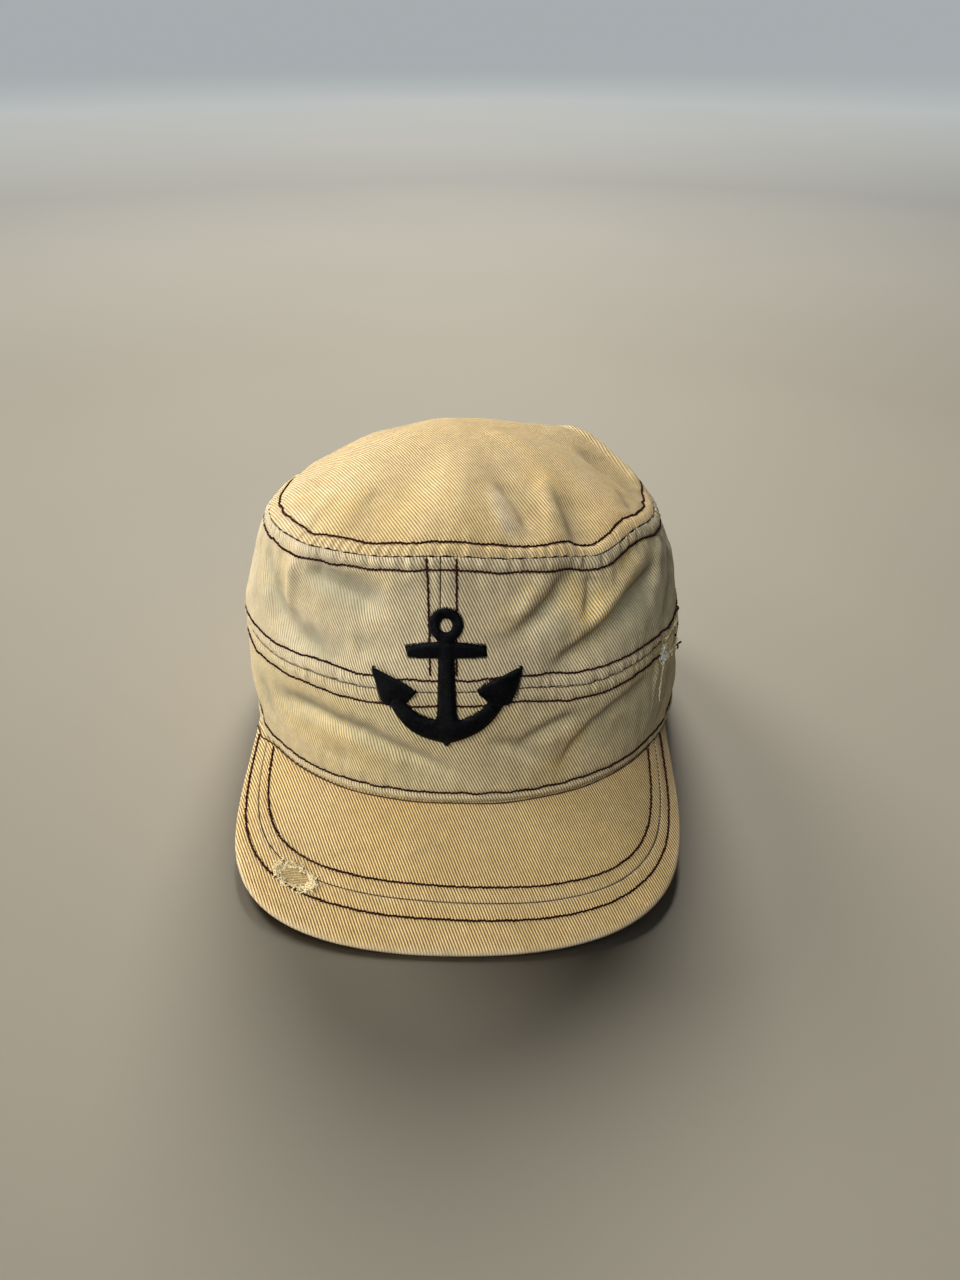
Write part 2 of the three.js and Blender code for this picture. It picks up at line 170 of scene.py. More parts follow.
# the same cloth has its own colours on each panel: partly faded differently, partly painted shade, such as
# the top's darker cloth
panelCloths = {
    "top": {"wale": (0.85, 0.635, 0.30), "gap": (0.31, 0.20, 0.085), "ochre": (0.93, 0.65, 0.24),
            "ochreShare": 0.3, "pitch": 0.98, "grey": (0.27, 0.22, 0.13)},
    "upper": {"wale": (0.92, 0.77, 0.49), "gap": (0.26, 0.19, 0.11), "ochre": (0.97, 0.71, 0.27),
              "ochreShare": 0.3, "pitch": 1.02, "grey": (0.34, 0.325, 0.22)},
    "lower": {"wale": (0.87, 0.72, 0.415), "gap": (0.245, 0.17, 0.08), "ochre": (0.97, 0.69, 0.25),
              "ochreShare": 0.3, "pitch": 1.02, "grey": (0.31, 0.285, 0.18)},
    "peak": {"wale": (0.98, 0.70, 0.315), "gap": (0.17, 0.09, 0.027), "ochre": (0.90, 0.62, 0.24),
             "ochreShare": 0.15, "pitch": 0.94, "grey": (0.31, 0.27, 0.16)},
}
shadeNames = ("wear", "stain", "seam", "fray", "glow", "fold", "calm")  # kept at each point of the cloth; some of them paint light and shade into its colour


# fade holds a panel's colours, partly a fade and partly painted shade
def makeTwill(name, fade, puckered=True):
    c = twillCloth
    material, tree, shader, place = newMaterial(name)
    uv = addNode(tree, "UVMap", uv_map="weave").outputs["UV"]
    u, v = addNode(tree, "SeparateXYZ", {0: uv}).outputs[:2]  # one unit is 100 mm
    rise, run = (100 * f(radians(c["slant"])) for f in (sin, cos))
    across = add(times(u, rise / fade["pitch"]), times(v, run / fade["pitch"]))
    along = maths("SUBTRACT", times(v, rise / c["float"]), times(u, run / c["float"]))
    across = add(add(across, times(noiseOf(uv, 6, 1), c["drift"])), times(noiseOf(uv, 120, 1), c["wander"]))
    wale = add(times(maths("COSINE", times(across, 2 * pi)), 0.5), 0.5)
    waleNumber = maths("FLOOR", across)
    step = add(along, times(waleNumber, c["floatShift"]))
    floatWave = maths("ABSOLUTE", maths("SINE", times(step, pi)))
    # uneven yarn: each wale is a little lighter or darker along its way
    yarnPlace = addNode(tree, "CombineXYZ", {0: times(waleNumber, 3.7), 1: times(along, 0.55)})
    yarn = noiseOf(yarnPlace.outputs[0], 1.0, 3, 0.6)
    fibre = noiseOf(uv, 1500, 3, 0.7)
    wear, stain, seam, fray, glow, fold, calm = (
        addNode(tree, "Attribute", attribute_name=shade).outputs["Fac"] for shade in shadeNames)
    wale = add(times(wale, maths("SUBTRACT", 1.0, calm)), times(calm, 0.4))
    pleatPlace = addNode(tree, "CombineXYZ", {0: times(u, 100 / c["puckerPitch"]), 1: times(v, 9)})
    pleat = remap(noiseOf(pleatPlace.outputs[0], 1.0, 1), 0.36, 0.64)
    pleatHere = times(pleat, times(seam, 1.0 if puckered else 0.0))
    height = add(times(floatWave, c["floatHeight"]), times(fibre, c["fibreHeight"]))
    height = add(add(times(wale, c["waleHeight"]), height), times(pleatHere, c["pleatHeight"]))
    ridge = remap(add(wale, times(fibre, 0.2)), 0.2, 0.82)
    middle = noiseOf(place, 48, 4, 0.6)
    fine = noiseOf(place, 190, 3, 0.6)
    washed = remap(add(noiseOf(place, 14, 3, 0.55), times(middle, 0.7)), 0.72, 1.02)
    ochre = remap(add(noiseOf(place, 27, 3, 0.6), times(fine, 0.25)), 0.58, 0.86)
    waleColour = mixColours(times(washed, 0.25), fade["wale"], c["paleColour"])
    waleColour = mixColours(times(ochre, fade["ochreShare"]), waleColour, fade["ochre"])
    # painted highlight: along the lit ridges the wales turn yellower
    highlightHere = times(glow, remap(middle, 0.3, 0.7, 0.6, 1.15), clamp=True)
    waleColour = mixColours(highlightHere, waleColour, fade["ochre"])
    # rubbed wear, and painted highlight on crests and pleats, turn the wales paler
    wearHere = times(wear, remap(middle, 0.3, 0.7, 0.45, 1.1), clamp=True)
    wearHere = add(wearHere, times(pleatHere, 0.12), clamp=True)
    # stains, and painted shade in the hollows and on shaded parts, turn the cloth grey
    stainHere = times(stain, remap(fine, 0.25, 0.75, 0.7, 1.1), clamp=True)
    waleColour = mixColours(times(wearHere, c["paleShare"]), waleColour, c["paleColour"])
    cloth = mixColours(ridge, fade["gap"], waleColour)
    cloth = mixColours(times(wearHere, 0.2), cloth, c["paleColour"])
    cloth = mixColours(times(stainHere, c["stainShare"]), cloth, fade["grey"])
    cloth = mixColours(fray, cloth, c["frayColour"])
    # painted shading: a factor darkens the colour on slopes that look down and on shaded parts, and lightens
    # it on lit ridges
    shade = times(remap(yarn, 0.28, 0.72, 0.87, 1.08), remap(fine, 0.3, 0.7, 0.93, 1.06))
    shade = times(shade, remap(fold, 0.0, 1.0, 0.45, 1.35))
    cloth = mixColours(1.0, cloth, shade, "MULTIPLY")
    roughness = remap(fibre, 0.2, 0.8, *c["roughness"])
    finishShader(shader, cloth, height, c["bumpStrength"], c["bump"], roughness, c["sheen"], c["shine"])
    plug(shader, {"Sheen Roughness": c["sheenRoughness"]})
    return material


def makeThread(name, dark, light, twist=1900, roughness=0.95, sheen=0.0, shine=0.1):
    material, tree, shader, place = newMaterial(name)
    strand = noiseOf(place, twist, 2, 0.6)
    amount = add(times(strand, 0.6), times(noiseOf(place, 160, 3, 0.6), 0.4))
    colour = mixColours(remap(amount, 0.32, 0.68), dark, light)
    finishShader(shader, colour, strand, 0.5, 0.00008, roughness, sheen, shine)
    return material


topTwill = makeTwill("top_twill", panelCloths["top"], False)
upperTwill = makeTwill("upper_twill", panelCloths["upper"])
lowerTwill = makeTwill("lower_twill", panelCloths["lower"])
peakTwill = makeTwill("peak_twill", panelCloths["peak"], False)
stitchThread = makeThread("stitch_thread", (0.012, 0.003, 0.003), (0.06, 0.018, 0.012), shine=0.08)
# painted shade: dark strands laid in the seams' gaps stand in for their shadow
seamShadowThread = makeThread("seam_shadow_thread", (0.035, 0.02, 0.009), (0.12, 0.075, 0.035))
frayThread = makeThread("fray_thread", (0.78, 0.62, 0.33), (0.97, 0.86, 0.56), 900, 0.9, 0.1, 0.3)
weftThread = makeThread("weft_thread", (0.36, 0.25, 0.11), (0.78, 0.60, 0.31), 900, 0.9, 0.1, 0.3)
whiteThread = makeThread("white_thread", (0.60, 0.57, 0.49), (0.95, 0.93, 0.86), 900, 0.9, 0.1, 0.3)
emblemThread = makeThread("emblem_thread", (0.0001, 0.0001, 0.0002), (0.006, 0.0064, 0.009),
                          700, 0.45, 0.0, 0.07)
print("materials made")


# where the seams run, found on the CAD panels
def rayOn(surface, origin, direction):  # millimetres in the cap's frame; distance, spot and normal
    start = capToWorld @ Vector(origin)
    way = (capToWorld.to_3x3() @ Vector(direction)).normalized()
    spot, normal, _, distance = surface.ray_cast(start, way)
    if spot is None:
        return 1e9, None, None
    return distance / mm, worldToCap @ spot, (worldToCap.to_3x3() @ normal).normalized()


def closest(hits):
    return min(hits, key=lambda hit: hit[0])


def surfaceOf(obj):
    mesh = obj.data
    return BVHTree.FromPolygons([v.co for v in mesh.vertices], [tuple(p.vertices) for p in mesh.polygons])


cadSurfaces = {name: surfaceOf(node) for name, node in nodes.items()}


rayStart = 200  # from the crown's axis, well clear of the cap
rayReach = 125  # a wall found farther along its ray is the far side of a gap


def wallRay(surface, turn, height):  # level ray from outside towards the crown's axis
    out = Vector((sin(turn), -cos(turn), 0))
    return rayOn(surface, out * rayStart + Vector((0, 0, height)), -out)


def firstHit(names, turn, height):
    return min((wallRay(cadSurfaces[name], turn, height)[0], name) for name in names)[1]


turnTable = np.linspace(-pi, pi, 241)
midPanels = ["upper_band_left", "upper_band_right", "lower_band"]
topPanels = ["upper_band_left", "upper_band_right", "crown_top"]


def borderHeights(isPast, low, high):  # height at each turn where one panel gives way to the next
    table = []
    for turn in turnTable:
        below, above = low, high
        for _ in range(14):
            middle = (below + above) / 2
            below, above = (below, middle) if isPast(turn, middle) else (middle, above)
        table.append((below + above) / 2)
    return np.array([table[-1], *table[1:]])


def outerRadius(name, turn, height):
    return hypot(*wallRay(cadSurfaces[name], turn, height)[1].xy)


midTable = borderHeights(lambda t, h: firstHit(midPanels, t, h) != "lower_band", 30, 52)
topTable = borderHeights(lambda t, h: firstHit(topPanels, t, h) == "crown_top", 66, 100)
edgeRadius = np.array([outerRadius(firstHit(topPanels, t, h - 0.6), t, h - 0.6)
                       for t, h in zip(turnTable, topTable)])
midRadius = np.array([outerRadius("lower_band", t, h - 3) for t, h in zip(turnTable, midTable)])


def lengthsAlong(path):  # distance of each point from the start of its path
    return np.concatenate([[0], np.cumsum(np.linalg.norm(np.diff(path, axis=0), axis=1))])


def columnsAt(places, lengths, table):
    return np.stack([np.interp(places, lengths, column) for column in np.transpose(table)], -1)


ringLength = lengthsAlong(np.stack([midRadius * np.sin(turnTable), midRadius * np.cos(turnTable)], 1))
ringLength -= np.interp(0, turnTable, ringLength)


def aroundOf(turn):  # millimetres round the head from the front
    whole = ringLength[-1] - ringLength[0]
    laps = np.round(turn / (2 * pi))
    return np.interp(turn - laps * 2 * pi, turnTable, ringLength) + laps * whole


def atTurn(turn, *tables):
    return [np.interp(turn, turnTable, table, period=2 * pi) for table in tables]


peakMiddle = (0, -62)
rimSize = {"halfWidth": 88, "halfLength": 94}
peakCurves = {  # half width, reach in front of the rim, how far back it starts, skew
    "seam": (76.9, 32.1, 1.6, -0.03), "edge": (83.9, 47.4, 0, 0),
}


def peakCurve(halfWidth, reach, back, skew):
    angle = np.linspace(-pi / 2 + 0.001, pi / 2 - 0.001, 4000)
    x = halfWidth * np.sign(angle) * np.abs(np.sin(angle)) ** 0.85
    y = back - (rimSize["halfLength"] + back + reach) * np.cos(angle) ** 0.28 + skew * x
    inside = np.maximum(1 - (np.abs(x) / rimSize["halfWidth"]) ** 2.2, 0)
    rim = -rimSize["halfLength"] * np.sqrt(inside) ** 0.91
    line = np.stack([x, y], 1)[y < rim + 4]
    lengths = lengthsAlong(line)
    return columnsAt(np.linspace(0, lengths[-1], 900), lengths, line)


print("seams found", midTable.min(), midTable.max(), topTable.min(), topTable.max())


# cloth panels: the CAD panels, refined, puckered along the seams and creased
def ripple(values, pitch, seed):  # uneven soft waves about one pitch apart
    rng = np.random.RandomState(seed)
    total = np.zeros_like(values)
    for _ in range(7):
        total += np.sin(2 * pi * values * rng.uniform(0.6, 1.7) / pitch + rng.uniform(0, 6.3))
    return total / 2.6


def swell(x, y, pitch, seed):  # the same over an area
    rng = np.random.RandomState(seed)
    total = np.zeros_like(x)
    for _ in range(9):
        way = rng.uniform(0, 2 * pi)
        size = rng.uniform(0.6, 1.5) / pitch
        total += np.sin(2 * pi * size * (x * cos(way) + y * sin(way)) + rng.uniform(0, 6.3))
    return total / 3


def bell(distance, width, flat=0):  # 1 in the middle, and as far out as it is flat
    return np.exp(-(np.maximum(np.abs(distance) - flat, 0) / width) ** 2)


def unit(values):
    return np.clip(values, 0, 1)


def unitRows(vectors):
    return vectors / np.linalg.norm(vectors, axis=1)[:, None]


def creaseShape(x, y, path, width, rise, soft=1.8, ends=0.25):  # sharper on its right than on its left
    path = np.array(path, dtype=float)
    low, high = path.min(0) - width * 7, path.max(0) + width * 7
    near = (x > low[0]) & (x < high[0]) & (y > low[1]) & (y < high[1])
    total = np.zeros_like(x)
    if not near.any():
        return total
    px, py = x[near], y[near]
    before = lengthsAlong(path)
    best, side, share = np.full(len(px), 1e9), np.zeros(len(px)), np.zeros(len(px))
    for i, step in enumerate(np.diff(before)):
        way = (path[i + 1] - path[i]) / step
        dx, dy = px - path[i, 0], py - path[i, 1]
        t = np.clip(dx * way[0] + dy * way[1], 0, step)
        away = np.hypot(dx - t * way[0], dy - t * way[1])
        closer = away < best
        side = np.where(closer, way[0] * dy - way[1] * dx, side)
        share = np.where(closer, (before[i] + t) / before[-1], share)
        best = np.minimum(best, away)
    taper = unit(5 * share * (1 - share) + ends)
    total[near] = rise * bell(best, width * np.where(side > 0, soft, 1)) * taper
    return total


def creaseSum(x, y, rows):
    return sum(creaseShape(x, y, *row) for row in rows)


def stainSum(x, y, rows, squash=1.0):
    return sum(amount * bell(np.hypot(x - stainX, (y - stainY) * squash), spread)
               for stainX, stainY, spread, amount in rows)


def swellSum(x, y, rows):
    return sum(size * swell(x, y, pitch, seed) for size, pitch, seed in rows)


def refineNode(nodeName, pieceName, levels=3, crease=0.55):
    piece = newObject(pieceName, nodes[nodeName].data.copy())
    piece.data.materials.clear()
    activate(piece)
    bpy.ops.object.mode_set(mode="EDIT")
    bpy.ops.mesh.select_all(action="SELECT")
    bpy.ops.mesh.remove_doubles(threshold=2e-6)
    bpy.ops.mesh.tris_convert_to_quads(face_threshold=0.9, shape_threshold=1.4)
    bpy.ops.mesh.select_all(action="DESELECT")
    bpy.ops.mesh.select_mode(type="EDGE")
    bpy.ops.mesh.edges_select_sharp(sharpness=radians(48))
    bpy.ops.transform.edge_crease(value=crease)
    bpy.ops.object.mode_set(mode="OBJECT")
    divide = piece.modifiers.new("smooth", "SUBSURF")
    divide.levels = divide.render_levels = levels
    bpy.ops.object.modifier_apply(modifier="smooth")
    bpy.ops.object.shade_smooth()
    for old in [a.name for a in piece.data.attributes if a.name in ("crease_edge", "sharp_edge")]:
        piece.data.attributes.remove(piece.data.attributes[old])
    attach(piece, "root")
    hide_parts(nodeName)
    return piece


def setWeave(piece, x, y, turn=None):  # millimetres along the cloth to the uv map
    mesh = piece.data
    layer = mesh.uv_layers.new(name="weave")
    corner = np.empty(len(mesh.loops), dtype=np.int64)
    mesh.loops.foreach_get("vertex_index", corner)
    across = x[corner]
    if turn is not None:  # faces across the back keep to one side of it
        starts, counts = (np.empty(len(mesh.polygons), dtype=np.int64) for _ in range(2))
        mesh.polygons.foreach_get("loop_start", starts)
        mesh.polygons.foreach_get("loop_total", counts)
        first = np.repeat(turn[corner[starts]], counts)
        mine = turn[corner]
        across = aroundOf(mine - np.round((mine - first) / (2 * pi)) * 2 * pi)
    layer.data.foreach_set("uv", np.stack([across, y[corner]], 1).ravel() / 100)


def setShades(piece, **shades):
    for name in shadeNames:
        values = np.broadcast_to(shades.get(name, 0.0), len(piece.data.vertices))
        layer = piece.data.attributes.new(name, "FLOAT", "POINT")
        layer.data.foreach_set("value", unit(values).astype(np.float32))


pucker = {  # the gaps are from a seam to its row of stitches
    "stitchGap": 4.8, "topGap": 4.5, "overGap": 5.6, "baseGap": 3.4, "frontGap": 4.5,
    "pitch": 5.6, "finePitch": 2.8, "depth": 0.34, "groove": 0.42, "grooveWidth": 1.1,
}


def seamPucker(around, distance, row, seed, strength=1.0):  # distance from the seam, plus on the cloth
    p = pucker
    between = bell(distance, row * 0.75, row * 0.55)
    waves = ripple(around, p["pitch"], seed) + 0.4 * ripple(around, p["finePitch"], seed + 1)
    beyond = bell(distance, 5.5, row) * 0.75 * ripple(around, p["pitch"] * 1.5, seed + 2)
    puff = 0.3 * bell(distance - row * 0.5, row * 0.42)
    groove = -p["groove"] * bell(distance - row, p["grooveWidth"])
    edge = -0.12 * bell(distance, 0.8)
    held = 1 - 0.7 * bell(distance - row, 1.4)  # the stitches pull the waves flat
    return strength * (p["depth"] * (between * waves * 0.8 + beyond * 0.5) * held + puff) + groove + edge


# Places on the wall are millimetres round from the front and up from the rim. A crease, a glow or a pale
# streak is a path, its half width, its height, how much wider its soft side is, and how full its ends are.
wallCloth = {
    "swells": ((0.3, 24, 5), (0.12, 9, 6)),  # height, pitch and seed of the loose waves
    "rimShift": 1.8,  # the rim sits to the right of the crown
    "tearDepth": 0.8, "slitHeight": 0.9,
    # greying the hollows is painted shade; paler crests are rubbed wear and painted highlight
    "seamWear": 0.22, "crestWearAndHighlight": 0.25, "slitWear": 0.8, "hollowShade": 0.55,
    # painted shading of the colour: its level, darker on the left of the front, lighter on the highlights,
    # and how much downward slopes darken
    "tone": 0.555, "shadeLeft": -0.07, "highlightLift": 0.1, "shading": 0.5, "shadingRight": 0.25,
    "creases": [
        ([(-62, 81), (-64, 73), (-67, 65), (-69, 58)], 2.4, 1.4, 1.2),
        ([(-75, 80), (-74, 72), (-75, 64)], 2.6, -1.2),
        ([(-92, 76), (-84, 66), (-76, 57), (-63, 50), (-48, 48)], 3.4, -2.6),
        ([(-57, 77), (-46, 74), (-37, 71), (-26, 67)], 3.2, -2.6),
        ([(-36, 53), (-26, 55), (-20, 57)], 2.8, -1.4), ([(-16, 78), (-14, 66), (-16, 58)], 3.0, -0.7),
        ([(4, 80), (7, 70), (9, 64)], 3.4, -0.5), ([(31, 79), (25, 70), (18, 62)], 3.2, 1.8),
        ([(40, 80), (35, 72), (28, 65), (19, 58), (10, 56)], 2.4, -2.2, 1.5),
        ([(50, 79), (49, 72), (47, 65)], 1.8, -1.8), ([(43, 71), (33, 60), (24, 52)], 3.0, 1.0),
        ([(84, 77), (64, 72), (53, 66), (45, 60)], 3.2, 2.7),
        ([(92, 71), (70, 65), (59, 61), (49, 56), (40, 51), (33, 46)], 2.6, -2.8, 2.2),
        ([(112, 72), (102, 62), (92, 50)], 3.4, -1.8), ([(98, 80), (92, 72), (84, 62)], 2.8, 1.5),
        ([(-112, 76), (-104, 64), (-96, 50)], 4.0, -1.4),
        ([(-76, 25), (-52, 25), (-34, 23), (-20, 18), (-4, 12)], 2.5, -3.2, 1.6),
        ([(-52, 13), (-40, 11)], 2.6, -0.8), ([(-93, 25), (-86, 18), (-79, 14)], 3.0, -1.0),
        ([(82, 31), (62, 29), (51, 25), (44, 18), (39, 11)], 2.0, -1.8, 2.2),
        ([(44, 31), (34, 28), (26, 23), (22, 19)], 2.0, -1.8), ([(10, 23), (20, 20), (30, 14)], 1.8, -1.5),
        ([(104, 28), (98, 16), (90, 8)], 3.0, -0.8), ([(170, 74), (186, 62), (204, 48)], 4.0, -1.4),
        ([(-176, 72), (-194, 60), (-214, 48)], 4.0, -1.4), ([(140, 78), (150, 64), (154, 50)], 3.6, -1.0),
        ([(238, 32), (222, 24), (206, 12)], 3.0, -1.1), ([(-250, 31), (-226, 24), (-200, 16)], 3.0, -1.1),
        ([(150, 30), (164, 22), (182, 10)], 3.0, -1.0), ([(-150, 31), (-138, 22), (-122, 12)], 3.0, -1.0),
    ],
    "ridgeHighlights": [  # painted highlight: yellower, brighter cloth along the lit ridges
        ([(76, 79), (62, 74), (52, 68), (45, 61)], 7.0, 1.1, 1.8, 0.6),
        ([(27, 78), (21, 70), (14, 63)], 4.2, 1.0, 1.8, 0.5), ([(44, 79), (38, 72)], 3.6, 0.7, 1.8, 0.6),
        ([(-71, 78), (-73, 66)], 3.2, 0.6, 1.8, 0.6), ([(-40, 79), (-20, 77)], 3.0, 0.4, 1.8, 0.6),
        ([(46, 22), (38, 14), (33, 9)], 3.2, 0.9, 1.8, 0.5),
        ([(-70, 18), (-44, 16), (-24, 10)], 4.0, 0.5, 1.8, 0.5),
        ([(-70, 33), (-40, 31)], 3.4, 0.3, 1.8, 0.5), ([(140, 30), (200, 26)], 9.0, 0.4, 1.8, 0.5),
        ([(-200, 66), (-140, 60)], 9.0, 0.4, 1.8, 0.5),
    ],
    "pales": [
        ([(22, 76), (17, 69), (13, 62)], 4.5, 0.55, 1.8, 0.5),
    ],
    "stains": [  # spread and amount; darker grey patches: stains, and painted shade in the broad ones 76 to 106 mm right of the front
        (-38, 72, 9, 0.7), (-52, 75, 7, 0.45), (-80, 60, 9, 0.5), (-54, 50, 10, 0.4),
        (36, 62, 7, 0.5), (76, 57, 13, 0.65), (106, 60, 22, 0.45), (-34, 20, 9, 0.35),
        (-60, 25, 8, 0.4), (-88, 18, 8, 0.4), (58, 22, 9, 0.35), (84, 20, 17, 0.75),
        (-118, 40, 13, 0.4), (168, 58, 18, 0.35), (-180, 56, 20, 0.35), (230, 24, 16, 0.35),
    ],
}
slopeStep = 0.9  # how far to either side a crease is compared for its shading
crestHeight = 0.9  # where the cloth is fully a ridge
overStretch = 1.15  # along the curved edge of the top, against in plan
emblemSpot = {"x": -2, "y": 46, "halfWidth": 27, "halfHeight": 25}
sideTear = {"turn": 57, "x": 92, "width": 15, "edgeX": 87, "edgeLow": 12, "fibres": 420,
            "stubs": [(70, 30, -0.35, 6.0, 1.6), (70, 44.5, 1.2, 2.4, 1.4), (70, 31, -1.9, 2.4, 0.8)]}
wallMarks = {"mid": 41, "top": 85}  # heights of the two seams on the flat pattern
frontSeam = -2.5  # degrees round from the front


def patternHeight(turn, height):
    mid, top = atTurn(turn, midTable, topTable)
    above = wallMarks["mid"] + (height - mid) / (top - mid) * (wallMarks["top"] - wallMarks["mid"])
    return np.where(height < mid, height / mid * wallMarks["mid"], above)


def realHeight(turn, height):
    mid, top = atTurn(turn, midTable, topTable)
    return float(np.interp(height, [0, wallMarks["mid"], wallMarks["top"], 120], [0, mid, top, top + 35]))


def shapeWall(piece, isUpper):
    w = wallCloth
    points = toCap(meshPoints(piece))
    x, y, height = points.T
    turn = np.arctan2(x, -y)
    around, pattern = aroundOf(turn), patternHeight(turn, height)
    mid, top = atTurn(turn, midTable, topTable)
    outward = unitRows(np.stack([x / 88 ** 2, y / 96 ** 2, np.zeros(len(x))], 1))
    out = swellSum(around, height, w["swells"])
    above, below = (creaseSum(around, pattern + step, w["creases"]) for step in (slopeStep, -slopeStep))
    out += (above + below) / 2
    slope = (above - below) / (2 * slopeStep)  # plus where the cloth looks down
    underTop, overMid = top - height, height - mid
    if isUpper:
        out *= np.clip((np.minimum(underTop, overMid) - 3) / 7 + 0.25, 0.15, 1)
        out += seamPucker(around, np.abs(underTop), pucker["topGap"], 21, 1.2)
        out += seamPucker(around, np.abs(overMid), pucker["stitchGap"], 31, 0.9)
        front = np.abs(around - aroundOf(radians(frontSeam)))
        out += seamPucker(height, front, pucker["frontGap"], 51, 0.6) * bell(front, 3, 9)
        allowance = np.maximum(unit(1.15 - underTop / pucker["topGap"]),
                               0.2 * unit(1.15 - overMid / pucker["stitchGap"]))
        allowance = unit(allowance * 4) * np.where(underTop < 8, 0.8, 0.2)
        nearSeam = np.minimum(np.minimum(np.abs(underTop), np.abs(overMid)), front + 1.5)
    else:
        out *= np.clip(np.minimum(-overMid / 7, height / 6) + 0.2, 0.2, 1)
        out += seamPucker(around, np.abs(overMid), pucker["stitchGap"], 41, 0.9)
        sideways = np.sin(turn) * unit((np.abs(turn) - 0.8) / 0.5)
        out += w["rimShift"] * sideways * unit(1 - pattern / 20)
        out += 1.2 * bell(around + 112, 18) * (bell(pattern - 12, 5) - 0.6 * bell(pattern, 5))
        welt = 0.5 * bell(height - 1.6, 1.1) - 0.55 * bell(height - pucker["baseGap"], 0.9)
        out += welt + 0.07 * bell(height, 6, 4) * ripple(around, 7, 61)
        allowance = 0.2 * unit(4.6 + 4 * overMid / pucker["stitchGap"])
        nearSeam = np.minimum(np.abs(overMid), np.abs(height) * 0.8)
    under = np.clip(1.25 - np.hypot((around - emblemSpot["x"]) / emblemSpot["halfWidth"],
                                    (pattern - emblemSpot["y"]) / emblemSpot["halfHeight"]), 0, 0.25) * 4
    out *= 1 - np.where(out > 0, 1, 0.6) * under  # flat under the emblem
    torn = bell(around - sideTear["x"], 2, sideTear["width"] * 0.4) * bell(pattern - 38, 1.2, 4.4)
    slit = bell(around - sideTear["edgeX"] + (31 - pattern) * 0.2, 0.8) \
        * unit((pattern - sideTear["edgeLow"]) / 20) * (pattern < 35)
    out += w["slitHeight"] * slit - w["tearDepth"] * torn
    placeCloth(piece, points + outward * out[:, None])
    setWeave(piece, around, height, turn)
    crest = np.clip(out / crestHeight, -1, 1)
    glow = creaseSum(around, pattern, w["ridgeHighlights"])
    shading = w["shading"] + w["shadingRight"] * unit(around / 60)  # low light rakes the front's right
    # painted shading: the colour is darkened where a crease's slope looks down and on the left of the front
    setShades(
        piece, seam=allowance, fray=0.8 * torn, glow=glow,
        wear=(w["seamWear"] * bell(nearSeam - 0.8, 1.0) + w["crestWearAndHighlight"] * np.maximum(crest, 0)
              + w["slitWear"] * slit + creaseSum(around, pattern, w["pales"])),
        stain=stainSum(around, pattern, w["stains"], 1.2) + w["hollowShade"] * np.maximum(-crest - 0.1, 0),
        fold=(w["tone"] + w["shadeLeft"] * bell(around + 68, 14, 22) + w["highlightLift"] * glow
              - shading * slope * (1 - 0.7 * under)),
        calm=0.6 * bell(around + 86, 16, 34) + 0.45 * bell(around - 92, 16, 22))
    piece.data.materials.append(upperTwill if isUpper else lowerTwill)


topCloth = {  # the same in plan
    "swells": ((0.25, 30, 7), (0.08, 9, 8)),
    "dome": 1.6,
    # greying the hollows is painted shade; paler crests are rubbed wear and painted highlight
    "seamWear": 0.25, "crestWearAndHighlight": 0.2, "hollowShade": 0.45,
    # painted shading: its level, darker towards the front, and how much slopes facing off the light darken
    "tone": 0.6, "shadeFront": -0.13, "shading": 0.2,
    "creases": [
        ([(13, -54), (18, -61), (22, -68), (24, -77)], 2.4, -1.7, 1.9),
        ([(12, -62), (15, -72), (16, -80)], 3.4, 1.3),
        ([(34, -54), (37, -62), (40, -71), (42, -79)], 2.6, -2.2, 2.2),
        ([(30, -46), (31, -58), (33, -70)], 3.6, 1.2), ([(58, -34), (61, -40), (62, -46)], 2.0, -1.0),
        ([(36, 26), (52, 10), (64, -2), (74, -16)], 2.0, 2.4, 2.2),
        ([(46, -4), (58, -16), (70, -28)], 3.6, -2.3), ([(48, 24), (62, 10), (74, 0)], 2.2, -0.9),
        ([(-46, -62), (-50, -68), (-53, -74)], 2.2, -0.8), ([(-26, -56), (-31, -67), (-35, -76)], 3.6, -0.8),
        ([(-42, -48), (-47, -56), (-52, -62)], 3.2, 0.6),
        ([(-54, -40), (-62, -22), (-64, 0), (-58, 24)], 8.0, 1.9, 1.0),
        ([(-30, 30), (-10, 50), (10, 70)], 5.0, -0.8), ([(40, 40), (30, 60), (26, 76)], 4.0, -1.0),
    ],
    # painted highlight: yellower, brighter cloth along the lit ridges of the top
    "ridgeHighlights": [
        ([(-10, -70), (-34, -66), (-52, -54)], 7, 0.5, 1.8, 0.5), ([(28, -40), (30, -54)], 6, 0.7, 1.8, 0.5),
        ([(50, -10), (58, -30), (54, -50)], 5, 0.5, 1.8, 0.5), ([(50, -66), (66, -52)], 4, 0.5, 1.8, 0.5),
    ],
    "pales": [
        ([(12, -60), (15, -72), (18, -82)], 2.8, 0.6, 1.8, 0.6),
        ([(-50, -66), (-58, -56), (-66, -40)], 4, 0.5, 1.8, 0.5),
    ],
    # darker grey patches: stains, and painted shade
    "stains": [
        (42, -68, 6, 0.3), (58, -22, 12, 0.45), (62, -42, 6, 0.4), (-54, 30, 20, 0.2),
    ],
}


